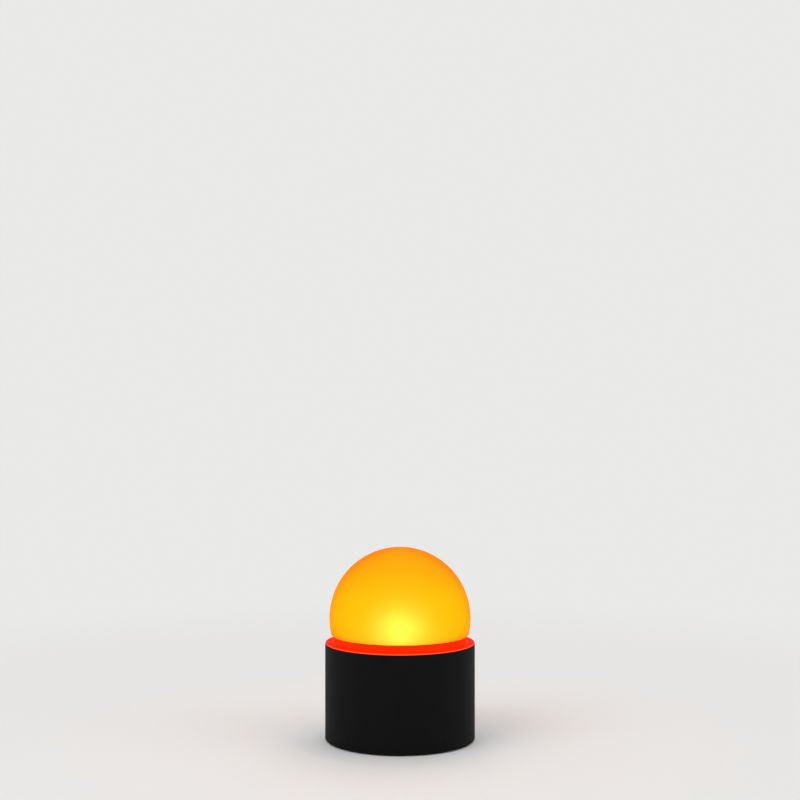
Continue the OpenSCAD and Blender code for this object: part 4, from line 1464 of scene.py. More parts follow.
@dataclass
class RearPanel:
    """The push button with its mark and spring, the charge light and the charging inlet's contacts."""

    height: float = 44.0
    cap: float = 6.0
    face: float = 79.273
    cap_round: float = 0.45
    soft: float = 0.25
    dish_radius: float = 22.0
    dish_depth: float = 0.5
    dish_steps: int = 14
    flange: Triple = (7.3, 74.5, 75.7)
    stem: Point = (2.2, 70.0)
    mark_radius: float = 2.1
    mark_width: float = 0.5
    mark_proud: float = 0.06
    mark_chamfer: float = 0.06
    mark_sunk: float = 0.12
    mark_gap: float = 70.0
    bar_foot: float = 0.3
    bar_reach: float = 0.75
    bar_easing: float = 0.05
    spring_radius: float = 3.95
    spring_wire: float = 0.5
    spring_turns: float = 3.5
    spring_closed: float = 0.9
    spring_gap: float = 0.06
    spring_steps: int = 28
    spring_span: Point = (67.5, 74.5)
    travel: float = 1.5
    pipe_radius: float = 1.25
    pipe_height: float = 31.5
    pipe_span: Point = (64.1, 79.4)
    pipe_soft: float = 0.15
    pipe_dome: Triple = (0.3, 0.28, 0.02)
    dome_angles: Triple = (0.4, 0.8, 1.2)
    collar: Triple = (2.2, 75.2, 76.4)
    port_height: float = 20.0
    tongue: Point = (72.7, 0.35)
    contact: Triple = (0.26, 4.2, 0.04)
    contact_back: float = 0.5
    contact_easing: float = 0.012
    contact_pitch: float = 0.5
    contact_count: int = 12

    def dish(self, radius: float) -> float:
        """Gives how far to the rear the button's dished face lies at a radius."""
        sphere = self.dish_radius - math.sqrt(self.dish_radius**2 - radius**2)
        return min(self.face, self.face - self.dish_depth + sphere)

    def button(self) -> None:
        """Builds the button: stem, flange and a cap with a dished face."""
        flange, back, seat = self.flange
        stem, end = self.stem
        rim = math.sqrt(self.dish_radius**2 - (self.dish_radius - self.dish_depth) ** 2)
        soft = self.soft
        radii = [rim * (1 - i / self.dish_steps) for i in range(self.dish_steps + 1)]
        button = turn("power_key", [
            (0.0, end), (stem - soft, end), (stem, end + soft), (stem, back - soft), (stem + soft, back),
            (flange - soft, back), (flange, back + soft), (flange, seat - soft), (flange - soft, seat),
            (self.cap + soft, seat), (self.cap, seat + soft),
            *arc((self.cap - self.cap_round, self.face - self.cap_round), self.cap_round, 0, 90, 6),
            *[(radius, self.dish(radius)) for radius in radii],
        ], Axis.REAR, steps=96)
        show(soften(move(button, (0, 0, self.height))), BUTTON, "power_button", body=Body.BUTTON)

    def mark_ring(self) -> Piece:
        """Makes the on-off sign's broken ring, set into the dished face.

        Returns:
            The ring.
        """
        half, proud = self.mark_width / 2, self.mark_proud
        inner, outer = self.mark_radius - half, self.mark_radius + half
        near, far = self.dish(inner), self.dish(outer)
        ring = turn("power_mark", [
            (inner, near - self.mark_sunk), (outer, far - self.mark_sunk), (outer, far + proud / 2),
            (outer - self.mark_chamfer, far + proud), (inner + self.mark_chamfer, near + proud),
            (inner, near + proud / 2),
        ], Axis.REAR, steps=72, sweep=360 - self.mark_gap)
        return move(ring, (0, 0, self.height), (0, -90 - self.mark_gap / 2, 0))

    def mark(self) -> None:
        """Builds the plain on-off sign: a broken ring and a bar that leans with the dished face."""
        ring = self.mark_ring()
        foot, tip = self.bar_foot, self.mark_radius + self.bar_reach
        low, high = self.dish(foot), self.dish(tip)
        lean = math.degrees(math.atan2(high - low, tip - foot))
        thick = self.mark_sunk + self.mark_proud
        bar = block("power_bar", (self.mark_width, thick, tip - foot), (0, self.mark_proud - thick / 2, 0))
        ease(bar, self.bar_easing)
        bar = move(bar, (0, (low + high) / 2, self.height + (foot + tip) / 2), (-lean, 0, 0))
        show(soften(join("power_mark", [ring, bar])), MARK, body=Body.BUTTON)

    def spring(self) -> None:
        """Builds the button's return spring, wound with a closed turn at each end."""
        start, end = self.spring_span
        half = self.spring_wire / 2
        closed = self.spring_closed
        total = self.spring_turns + 2 * closed
        steps = round(total * self.spring_steps)
        tight = closed * (self.spring_wire + self.spring_gap)
        rise = end - start - self.spring_wire - 2 * tight
        radius = self.spring_radius
        route = []
        for i in range(steps + 1):
            turns = total * i / steps
            middle = min(max((turns - closed) / self.spring_turns, 0.0), 1.0)
            ends = min(turns, closed) + max(turns - closed - self.spring_turns, 0.0)
            along = start + half + tight * ends / closed + rise * middle
            angle = 2 * math.pi * turns
            route.append(Vector((radius * math.cos(angle), along, self.height + radius * math.sin(angle))))
        spring = tube("return_spring", route, half, sides=3)
        show(spring, SCREW, "button_spring")
        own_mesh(spring)

    def light_pipe(self) -> None:
        """Builds the charge light's rod with its collar and a domed end."""
        start, end = self.pipe_span
        radius, low, high = self.collar
        thin, soft = self.pipe_radius, self.pipe_soft
        drop, rise, tip = self.pipe_dome
        dome = end - drop
        pipe = turn("charge_window", [
            (0.0, start), (thin - soft, start), (thin, start + soft), (thin, low), (radius - soft, low),
            (radius, low + soft), (radius, high - soft), (radius - soft, high), (thin, high), (thin, dome),
            *[(thin * math.cos(a), dome + rise * math.sin(a)) for a in self.dome_angles],
            (0.0, end - tip),
        ], Axis.REAR)
        show(soften(move(pipe, (0, 0, self.pipe_height))), PIPE, "light_pipe")

    def contacts(self) -> None:
        """Builds the rows of contacts above and below the inlet's tongue."""
        end, half = self.tongue
        model = block("socket_contact", self.contact, (0, 0, 0))
        ease(model, self.contact_easing)
        first = -self.contact_pitch * (self.contact_count - 1) / 2
        back = end - self.contact_back - self.contact[1] / 2
        spots = [
            ((first + self.contact_pitch * i, back, self.port_height + side * half), (0.0, 0.0, 0.0))
            for i in range(self.contact_count) for side in (-1, 1)
        ]
        show(copies("socket_contacts", model, spots), GOLD)

    def build(self) -> None:
        """Builds what is on the rear face."""
        self.button()
        self.mark()
        self.spring()
        self.light_pipe()
        self.contacts()


@dataclass
class LightEngine:
    """Reflector, LEDs and lens: what shows inside the ring when the globe is lifted."""

    board_top: float = 97.2
    floor: Point = (23.6, 52.908)
    reflector_radius: float = 60.908
    reflector: float = 1.2
    reflector_rise: float = 6.2
    rim_round: float = 0.3
    cone_chamfer: Point = (0.3, 0.15)
    dish_end: float = 20.0
    post: float = 14.6
    window: float = 3.2
    window_chamfer: float = 0.4
    screw_hole: float = 1.3
    sunk: float = 0.12
    package_easing: float = 0.05
    amber_circle: float = 40.0125
    amber_count: int = 12
    amber_body: Triple = (3.5, 3.5, 0.5)
    amber_edges: Point = (0.3, 0.7)
    amber_dome: Point = (1.4, 0.4)
    dome_angles: Row = (0.3, 0.6, 0.9, 1.2)
    pad: Triple = (0.8, 2.6, 0.06)
    pad_gap: float = 0.42
    pad_easing: float = 0.025
    red_circle: float = 62.208
    red_count: int = 18
    red_body: Triple = (1.4, 3.0, 1.0)
    red_window: Point = (0.18, 0.3)
    red_face: Triple = (0.25, 0.4, 0.2)
    red_easing: float = 0.08
    beam_board_top: float = 108.2
    beam_body: Triple = (5.0, 5.0, 0.7)
    beam_edges: Point = (0.4, 0.8)
    beam_dome: Point = (1.7, 108.6)
    lens_bottom: float = 109.0
    lens_top: float = 121.0
    lens_foot: float = 5.4
    lens_radius: float = 9.8
    lens_flange: Point = (11.6, 119.8)
    lens_pocket: Point = (2.8, 4.4)
    lens_bulge: float = 5.0
    lens_flare: float = 0.7
    lens_soft: float = 0.2
    lens_margin: float = 0.9
    flare_steps: int = 24
    ripple: float = 0.14
    ripple_count: int = 7
    ripple_steps: int = 8

    def dish(self) -> None:
        """Builds the white dish, with a chamfered window over each amber LED."""
        low, thick, soft = self.board_top, self.reflector, self.rim_round
        top = low + thick
        rim = top + self.reflector_rise
        edge = self.reflector_radius
        centre = (self.floor[1], rim)
        cone = self.post + thick
        dish = turn("dish_reflector", [
            (self.floor[0], low), (self.floor[1], low),
            *arc(centre, thick + self.reflector_rise, -90, -self.dish_end, 14),
            (edge, rim - thick), *arc((edge - soft, rim - soft), soft, 0, 90, 3), (edge - thick, rim),
            *arc(centre, self.reflector_rise, -self.dish_end, -90, 14),
            (self.floor[0], top), (cone, rim - self.cone_chamfer[1]), (cone - self.cone_chamfer[0], rim),
            (self.post, rim), (self.post, rim - thick),
        ], steps=192)
        wide, end = self.window + self.window_chamfer, thick + OVERRUN
        window = turn("led_window", [
            (0.0, -OVERRUN), (self.window, -OVERRUN), (self.window, thick - self.window_chamfer),
            (wide, thick), (wide, end), (0.0, end),
        ])
        carve(dish, copies("led_windows", window, ring_of(self.amber_count, self.amber_circle, low)))
        hole = rod("reflector_hole", self.screw_hole, -OVERRUN, end, sides=24)
        carve(dish, copies("reflector_holes", hole, DISH_CIRCLE.spots(low)))
        show(soften(dish), REFLECTOR, "reflector")

    def package(self, name: str, size: Triple, frame: float, notch: float) -> Piece:
        """Shapes an LED's body: a block with a sunk top and one cut corner that marks its polarity.

        Args:
            name: The body's name.
            size: Its size.
            frame: The width of the raised edge around the sunk top.
            notch: The width of the cut corner.

        Returns:
            The body, standing on the origin.
        """
        body = block(name, size, (0, 0, size[2] / 2))
        with editing(body):
            pick(body, lambda middle, way: abs(way.z) > FACING and min(middle.xy) > 0, Part.EDGES)
            round_off(notch, segments=1)
            pick(body, facing(Axis.UP.value))
            step_in(frame)
            draw_out((0, 0, -self.sunk))
        ease(body, self.package_easing)
        return body

    def amber(self) -> None:
        """Builds the amber LEDs: bodies, lit domes and solder pads."""
        length, _, height = self.amber_body
        radius, rise = self.amber_dome
        spots = ring_of(self.amber_count, self.amber_circle, self.board_top)
        body = self.package("amber_led_bodies", self.amber_body, *self.amber_edges)
        show(soften(copies("amber_led_bodies", body, spots)), CERAMIC, "amber_leds")
        foot = height - self.sunk
        dome = turn("amber_dome", [
            (0.0, foot), (radius, foot), (radius, height),
            *[(radius * math.cos(a), height + rise * math.sin(a)) for a in self.dome_angles],
            (0.0, height + rise),
        ], steps=32)
        show(soften(copies("amber_led_domes", dome, spots)), AMBER_DOME)
        pad = block("solder_pad", self.pad, (0, 0, self.pad[2] / 2))
        ease(pad, self.pad_easing)
        away = length / 2 + self.pad_gap
        pads = [
            spot for circle in (self.amber_circle - away, self.amber_circle + away)
            for spot in ring_of(self.amber_count, circle, self.board_top)
        ]
        show(copies("amber_led_pads", pad, pads), SOLDER)

    def red(self) -> None:
        """Builds the side-firing red LEDs: bodies with a sunk window and the lit faces in them."""
        depth, width, height = self.red_body
        frame, sunk = self.red_window
        spots = ring_of(self.red_count, self.red_circle, self.board_top)
        body = block("red_led_bodies", self.red_body, (0, 0, height / 2))
        with editing(body):
            pick(body, facing((1, 0, 0)))
            step_in(frame)
            draw_out((-sunk, 0, 0))
        ease(body, self.package_easing)
        show(soften(copies("red_led_bodies", body, spots)), CERAMIC, "red_leds")
        thick, less, back = self.red_face
        face = block("red_led_face", (thick, width - less, height - less), (depth / 2 - back, 0, height / 2))
        ease(face, self.red_easing)
        show(soften(copies("red_led_faces", face, spots)), RED_FACE)

    def beam(self) -> None:
        """Builds the beam LED under the lens."""
        radius, centre = self.beam_dome
        body = self.package("beam_led_body", self.beam_body, *self.beam_edges)
        show(soften(move(body, (0, 0, self.beam_board_top))), CERAMIC, "beam_led")
        foot = self.beam_board_top + self.beam_body[2] - self.sunk
        skirt = arc((0.0, centre), radius, math.degrees(math.asin((foot - centre) / radius)), 90, 14)
        section = [(0.0, skirt[0][1]), *skirt[:-1], (0.0, centre + radius)]
        show(soften(turn("beam_led_dome", section)), BEAM_DOME)

    def lens(self) -> None:
        """Builds the lens: a pocket over the LED, a flared body and fine rings on its face."""
        low, top, soft = self.lens_bottom, self.lens_top, self.lens_soft
        pocket, depth = self.lens_pocket
        centre = low + depth + math.sqrt(self.lens_bulge**2 - pocket**2)
        edge = math.degrees(math.asin(pocket / self.lens_bulge)) - 90
        bulge = arc((0.0, centre), self.lens_bulge, -90, edge, 10)[1:]
        flange, step = self.lens_flange
        grows = self.lens_radius - self.lens_foot
        shares = [i / self.flare_steps for i in range(self.flare_steps + 1)]
        flare = [(self.lens_foot + grows * s**self.lens_flare, low + s * (step - low)) for s in shares]
        face = []
        count = self.ripple_count * self.ripple_steps
        for i in range(count + 1):
            wave = 1 - math.cos(2 * math.pi * i / self.ripple_steps)
            face.append(((flange - self.lens_margin) * (1 - i / count), top - self.ripple * wave / 2))
        lens = turn("beam_optic", [
            (0.0, centre - self.lens_bulge), *bulge, (pocket, low + soft), (pocket + soft, low),
            *flare, (flange - soft, step), (flange, step + soft), (flange, top - soft),
            (flange - soft, top), *face,
        ], steps=96)
        show(soften(lens), LENS, "beam_lens")

    def build(self) -> None:
        """Builds the light engine."""
        self.dish()
        self.amber()
        self.red()
        self.beam()
        self.lens()


class Drive(Enum):
    """Which way a screw's head faces."""

    UP = (0.0, 0.0, 0.0)
    DOWN = (180.0, 0.0, 0.0)
    FRONT = (90.0, 0.0, 0.0)


@dataclass(frozen=True)
class ScrewKind:
    """A screw's shank radius, head radius, head height and thread pitch, and what all kinds share."""

    shank: float
    head: float
    height: float
    pitch: float
    root: float = 0.82
    tip: float = 0.35
    taper: float = 0.8
    runout: float = 0.6
    ridge: Triple = (0.3, 0.5, 0.7)
    neck: Point = (0.3, 0.1)
    head_edge: float = 0.1
    pan: Point = (0.45, 0.55)
    pan_angles: Row = (0.0, 0.3, 0.6, 0.9, 1.2)
    slot: Triple = (1.15, 0.42, 1.02)
    slot_foot: Triple = (0.45, 0.7, 1.0)


BIG = ScrewKind(1.4, 2.7, 1.8, 1.1)
SMALL = ScrewKind(1.1, 2.1, 1.3, 0.9)


@dataclass
class ScrewSet:
    """The screws of one CAD node: one model, copied to every place."""

    name: str
    node: str
    kind: ScrewKind
    length: float
    drive: Drive
    places: Sequence[Triple]

    def thread(self, root: float) -> Section:
        """Draws the shank from its tip up, with a ridge for each turn of the thread.

        Args:
            root: The radius between the ridges.

        Returns:
            The shank's part of the section.
        """
        kind, tip = self.kind, -self.length
        start = root * kind.taper
        shank = [(0.0, tip), (root * kind.tip, tip), (root, tip + start)]
        for i in range(int((self.length - start - kind.runout) / kind.pitch)):
            foot = tip + start + i * kind.pitch
            for radius, share in zip((root, kind.shank, root), kind.ridge):
                shank.append((radius, foot + share * kind.pitch))
        return shank

    def model(self) -> Piece:
        """Turns a pan-headed screw with a ridged shank and cuts its cross recess.

        Returns:
            The screw, its head standing on the origin and its shank below.
        """
        kind = self.kind
        root, edge = kind.shank * kind.root, kind.head_edge
        low, rise = kind.pan
        pan = [(kind.head * math.cos(a), kind.height * (low + rise * math.sin(a))) for a in kind.pan_angles]
        screw = turn("screw_model", [
            *self.thread(root), (root, -kind.neck[0]), (kind.shank, -kind.neck[1]), (kind.shank, 0.0),
            (kind.head - edge, 0.0), (kind.head, edge), *pan, (0.0, kind.height),
        ], steps=36)
        long, wide, up = kind.slot
        for turned in (0.0, 90.0):
            size = (kind.head * long, kind.shank * wide, kind.height)
            bar = block("recess", size, (0, 0, kind.height * up))
            with editing(bar):
                pick(bar, facing((0, 0, -1)))
                bpy.ops.transform.resize(value=kind.slot_foot, center_override=(0, 0, 0))
            carve(screw, move(bar, (0, 0, 0), (0, 0, turned)))
        return soften(screw, angle=40)

    def build(self) -> None:
        """Copies the screw to its places."""
        spots = [(place, self.drive.value) for place in self.places]
        show(soften(copies(self.name, self.model(), spots), angle=40), SCREW, self.node)


@dataclass
class Fixings:
    """The lamp's screws: the heights of those set on circles, and the places of the others."""

    cover: float = 3.2
    deck: float = 88.6
    dish: float = 98.4
    tray: tuple[Triple, ...] = ((-39.8, 0.0, 11.2), (39.8, 0.0, 11.2))
    board: tuple[Triple, ...] = (
        (-16.0, 61.4, 13.0), (-16.0, 61.4, 50.0), (16.0, 61.4, 13.0), (16.0, 61.4, 50.0),
    )

    def build(self) -> None:
        """Builds a set of screws for each CAD node of screws."""
        cover, ring = COVER_CIRCLE.places(self.cover), RING_CIRCLE.places(self.deck)
        sink, dish = SINK_CIRCLE.places(self.deck), DISH_CIRCLE.places(self.dish)
        for screws in (
            ScrewSet("cover_screw_set", "cover_screws", BIG, 14.0, Drive.DOWN, cover),
            ScrewSet("ring_screw_set", "ring_screws", BIG, 10.8, Drive.DOWN, ring),
            ScrewSet("sink_screw_set", "heat_sink_screws", BIG, 6.0, Drive.DOWN, sink),
            ScrewSet("dish_screw_set", "reflector_screws", SMALL, 5.6, Drive.UP, dish),
            ScrewSet("holder_screw_set", "holder_screws", BIG, 6.8, Drive.UP, self.tray),
            ScrewSet("board_screw_set", "board_screws", SMALL, 7.6, Drive.FRONT, self.board),
        ):
            screws.build()


@dataclass
class Wiring:
    """The two leads inside the base, each a twisted pair along its route."""

    strand: float = 0.62
    strand_round: int = 2
    offset: float = 0.68
    twist: float = 11.0
    spans: int = 16
    led_stops: tuple[Triple, ...] = (
        (0, 59.2, 52), (0, 59.2, 57.856), (1.5, 58.508, 65.908), (-1, 58.508, 75.058),
        (0, 59.308, 83.842), (0, 59.308, 95.6),
    )
    battery_stops: tuple[Triple, ...] = (
        (26, 21.5, 16), (26, 26.115, 16), (22, 34.99, 14), (14.8, 43.865, 16),
        (10, 50.965, 22), (10, 57, 22),
    )

    def route(self, stops: Sequence[Triple]) -> list[Vector]:
        """Draws a smooth line through all the stops, straight at both ends.

        Args:
            stops: The places that the lead passes.

        Returns:
            Points along the line.
        """
        p = [Vector(s) for s in stops]
        line = [p[0].lerp(p[1], i / self.spans) for i in range(self.spans)]
        for a, b, c, d in zip(p, p[1:], p[2:], p[3:]):
            for i in range(self.spans):
                t = i / self.spans
                line.append(0.5 * (
                    2 * b + (c - a) * t + (2 * a - 5 * b + 4 * c - d) * t**2 + (3 * b - a - 3 * c + d) * t**3
                ))
        return line + [p[-2].lerp(p[-1], i / self.spans) for i in range(self.spans + 1)]

    def pair(self, name: str, stops: Sequence[Triple]) -> Piece:
        """Twists two strands about a route.

        Args:
            name: The lead's name.
            stops: The places that it passes.

        Returns:
            The twisted pair.
        """
        line = self.route(stops)
        strands = []
        for start in (0.0, math.pi):
            travelled, side, points = 0.0, None, []
            for i, here in enumerate(line):
                ahead = (line[min(i + 1, len(line) - 1)] - line[max(i - 1, 0)]).normalized()
                if side is None:
                    side = ahead.orthogonal()
                side = (side - side.dot(ahead) * ahead).normalized()
                across = ahead.cross(side)
                if i:
                    travelled += (here - line[i - 1]).length
                angle = start + 2 * math.pi * travelled / self.twist
                points.append(here + self.offset * (math.cos(angle) * side + math.sin(angle) * across))
            strands.append(tube(name, points, self.strand, self.strand_round))
        return join(name, strands)

    def build(self) -> None:
        """Builds both leads."""
        show(self.pair("led_cable", self.led_stops), BLACK_JACKET, "led_lead")
        show(self.pair("battery_cable", self.battery_stops), RED_JACKET, "battery_lead")


@dataclass
class CellPair:
    """The two cells in their tray, pointing opposite ways: sleeves, end plates and insulating rings."""

    radius: float = 9.2
    length: float = 65.2
    cap: Point = (3.0, 1.0)
    cap_round: float = 0.25
    brim: Triple = (4.6, 0.1, 0.4)
    side: float = 10.0
    height: float = 19.7
    soft: float = 0.5
    crimp: float = 2.4
    crimp_groove: Triple = (0.9, 0.3, 0.35)
    foot: float = 7.6
    foot_edge: Triple = (0.2, 0.1, 0.03)
    mouth: float = 6.8
    sunk: float = 0.16
    ring: Triple = (4.7, 0.05, 0.12)

    def both(self, name: str, model: Piece, finish: Finish, *nodes: str) -> None:
        """Sets what was turned for one cell at both of them, and shows it."""
        spots = [((0.0, way * self.side, self.height), (0.0, way * 90.0, 0.0)) for way in (-1, 1)]
        show(soften(copies(name, model, spots)), finish, *nodes)

    def sleeves(self) -> None:
        """Builds the film sleeves, with a crimp groove below the shoulder."""
        low = -self.length / 2
        top = self.length / 2 - self.cap[1]
        skin, soft, sunk = self.radius, self.soft, self.sunk
        groove = top - self.crimp
        wide, narrow, deep = self.crimp_groove
        sleeve = turn("cell_sleeves", [
            (0.0, low + sunk), (self.foot, low + sunk), (self.foot, low),
            *arc((skin - soft, low + soft), soft, -90, 0, 5),
            (skin, groove - wide), (skin - deep, groove - narrow), (skin - deep, groove + narrow),
            (skin, groove + wide), *arc((skin - soft, top - soft), soft, 0, 90, 5),
            (self.mouth, top), (self.mouth, top - sunk), (0.0, top - sunk),
        ], steps=64)
        self.both("cell_sleeves", sleeve, SLEEVE, "battery_cells")

    def ends(self) -> None:
        """Builds the metal ends: a raised cap and a flat foot on each cell."""
        low, top = -self.length / 2, self.length / 2
        radius, rise = self.cap
        floor = top - rise - self.sunk
        soft = self.cap_round
        brim, thick, neck = self.brim
        cap = turn("cell_ends", [
            (0.0, floor), (brim, floor), (brim, floor + thick), (radius + soft, floor + thick),
            (radius, floor + neck), *arc((radius - soft, top - soft), soft, 0, 90, 4), (0.0, top),
        ])
        outer, inner, gap = self.foot_edge
        foot = turn("cell_foot", [
            (0.0, low + gap), (self.foot - outer, low + gap), (self.foot - inner, low + self.sunk),
            (0.0, low + self.sunk),
        ])
        self.both("cell_ends", join("cell_ends", [cap, foot]), CAN)

    def rings(self) -> None:
        """Builds the white rings around the caps."""
        floor = self.length / 2 - self.cap[1] - self.sunk
        inner, gap, thick = self.ring
        outer, top = self.mouth - gap, floor + thick
        ring = turn("cell_rings", [(inner, floor), (outer, floor), (outer, top), (inner, top)])
        self.both("cell_rings", ring, PLUNGER)

    def build(self) -> None:
        """Builds both cells."""
        self.sleeves()
        self.ends()
        self.rings()


@dataclass(frozen=True)
class Chip:
    """A chip's size with its legs, its place on the board and the number of legs on a side."""

    size: Triple
    at: Point
    legs: int


@dataclass
class DriverParts:
    """What stands on the driver board: connectors, coil, capacitor, chips and the charge LED."""

    face: float = 61.4
    rear: float = 63.0
    easing: float = 0.1
    connector: Triple = (8.0, 4.4, 6.0)
    led_connector: Point = (0.0, 49.0)
    battery_connector: Point = (10.0, 22.0)
    plug: tuple[Point, ...] = ((0.7, -0.6), (0.25, 0.6))
    coil: Point = (5.0, 4.5)
    coil_at: Triple = (-9.0, 0.0, 34.0)
    coil_rim: float = 0.8
    coil_waist: float = 1.2
    coil_edge: float = 0.2
    coil_turns: int = 5
    winding: Point = (0.6, 0.1)
    can: Point = (3.2, 7.0)
    can_at: Triple = (10.0, 0.0, 36.0)
    can_foot: float = 0.9
    can_gap: float = 0.1
    can_round: float = 0.35
    can_groove: Triple = (2.4, 2.0, 1.6)
    can_groove_depth: float = 0.3
    vent: Triple = (2.6, 0.3, 0.22)
    chips: tuple[Chip, ...] = (Chip((7.0, 1.6, 7.0), (-8.0, 20.0), 8), Chip((5.0, 1.2, 4.0), (1.0, 28.0), 4))
    chip_margin: float = 0.3
    dot: Triple = (0.8, 0.95, 0.35)
    dot_depth: float = 0.1
    leg: Triple = (0.8, 0.16, 0.34)
    leg_root: float = 0.2
    leg_bend: float = 0.15
    leg_margin: float = 1.0
    leg_easing: float = 0.03
    stand: float = 0.12
    charge_led: Triple = (1.6, 1.0, 0.8)
    charge_led_height: float = 31.5
    charge_window: Point = (0.15, 0.1)
    charge_easing: float = 0.04

    def connectors(self) -> None:
        """Builds both connectors, each with a plug set flush in the side that its lead enters."""
        made = []
        ways = (Vector((0, 0, 1)), Vector((0, -1, 0)))
        for (x, z), way in zip((self.led_connector, self.battery_connector), ways):
            housing = block("wire_connectors", self.connector, (x, self.face - self.connector[1] / 2, z))
            with editing(housing):
                pick(housing, facing(way))
                for rim, step in self.plug:
                    step_in(rim)
                    draw_out(way * step)
            ease(housing, self.easing)
            made.append(housing)
        show(soften(join("wire_connectors", made)), IVORY, "board_parts")

    def choke(self) -> None:
        """Builds the coil: a ferrite drum and its winding."""
        radius, height = self.coil
        edge, rim = self.coil_edge, self.coil_rim
        face, low = self.face, self.face - height
        waist = radius - self.coil_waist
        drum = turn("coil_drum", [
            (0.0, low), (radius - edge, low), (radius, low + edge), (radius, low + rim), (waist, low + rim),
            (waist, face - rim), (radius, face - rim), (radius, face), (0.0, face),
        ], Axis.REAR)
        show(soften(move(drum, self.coil_at)), FERRITE)
        wire = (height - 2 * rim) / self.coil_turns
        inset, lap = self.winding
        ridges: Section = []
        for i in range(self.coil_turns):
            ridges += arc((radius - inset, low + rim + (i + 0.5) * wire), wire / 2, -90, 90, 6)
        section = [(waist - lap, low + rim), *ridges, (waist - lap, face - rim)]
        winding = turn("coil_winding", section, Axis.REAR)
        show(soften(move(winding, self.coil_at), angle=50), COPPER)

    def capacitor(self) -> None:
        """Builds the capacitor: a can with a vent cross in its end, on a black foot."""
        radius, length = self.can
        face, gap, soft = self.face, self.can_gap, self.can_round
        low, foot = face - length, face - self.can_foot
        body = radius - gap
        neck = body - self.can_groove_depth
        groove = [(r, face - up) for r, up in zip((body, neck, body), self.can_groove)]
        can = turn("capacitor_can", [
            (0.0, low), *arc((body - soft, low + soft), soft, -90, 0, 5), *groove,
            (body, foot + gap), (0.0, foot + gap),
        ], Axis.REAR)
        share, wide, deep = self.vent
        for turned in (45.0, 135.0):
            vent = block("vent", (share * body / 2, wide, deep), (0, 0, 0))
            carve(can, move(vent, (0, low, 0), (0, turned, 0)))
        show(soften(move(can, self.can_at)), CAN)
        pad = turn("capacitor_foot", [
            (0.0, foot), (radius - gap, foot), (radius, foot + gap), (radius, face), (0.0, face),
        ], Axis.REAR)
        show(soften(move(pad, self.can_at)), INNER)

    def chip_body(self, chip: Chip) -> Piece:
        """Shapes a chip's body with a dot at its first leg.

        Args:
            chip: The chip.

        Returns:
            The body.
        """
        width, height, length = chip.size
        x, z = chip.at
        reach, thick = self.leg[0], height - self.stand
        inner = self.face - height
        size = (width - 2 * reach, thick, length - self.chip_margin)
        body = block("chip_bodies", size, (x, inner + thick / 2, z))
        ease(body, self.easing)
        side, end, radius = self.dot
        corner = (x - width / 2 + reach + side, z + length / 2 - end)
        dot = rod("first_leg_dot", radius, inner - OVERRUN, inner + self.dot_depth, corner, Axis.REAR, 20)
        carve(body, dot)
        return body

    def chip_legs(self, chip: Chip) -> Piece:
        """Bends a leg down to the board and sets it along both sides of a chip.

        Args:
            chip: The chip.

        Returns:
            The legs.
        """
        width, height, length = chip.size
        x, z = chip.at
        reach, thick, wide = self.leg
        root, bend = self.leg_root, self.leg_bend
        leg = block("chip_legs", (root, thick, wide), (root / 2, 0, 0))
        with editing(leg):
            pick(leg, facing((1, 0, 0)))
            for step in ((bend, 0.0), (bend, height / 2 - thick / 2), (reach - root - 2 * bend, 0.0)):
                draw_out((*step, 0.0))
        ease(leg, self.leg_easing)
        row = length - self.leg_margin
        pitch = row / (chip.legs - 1)
        spots = [
            ((x + side * (width / 2 - reach), self.face - height / 2, z - row / 2 + i * pitch),
             (0.0, 90.0 - 90.0 * side, 0.0))
            for i in range(chip.legs) for side in (-1, 1)
        ]
        return copies("chip_legs", leg, spots)

    def packages(self) -> None:
        """Builds the chips."""
        bodies, legs = [], []
        for chip in self.chips:
            bodies.append(self.chip_body(chip))
            legs.append(self.chip_legs(chip))
        show(soften(join("chip_bodies", bodies)), INNER)
        show(soften(join("chip_legs", legs)), SOLDER)

    def charge_light(self) -> None:
        """Builds the charge LED behind the light pipe."""
        frame, sunk = self.charge_window
        middle = self.rear + self.charge_led[1] / 2
        led = block("charge_led", self.charge_led, (0, middle, self.charge_led_height))
        with editing(led):
            pick(led, facing(Axis.REAR.value))
            step_in(frame)
            draw_out((0, -sunk, 0))
        ease(led, self.charge_easing)
        show(soften(led), CERAMIC)

    def build(self) -> None:
        """Builds everything on the board."""
        self.connectors()
        self.choke()
        self.capacitor()
        self.packages()
        self.charge_light()


@dataclass(frozen=True)
class Carried:
    """A part that keeps its solid's shape: its name, node and finish, its broken edge and its body."""

    name: str
    node: str
    finish: Finish
    edge: float
    segments: int = 2
    body: Body = Body.BASE


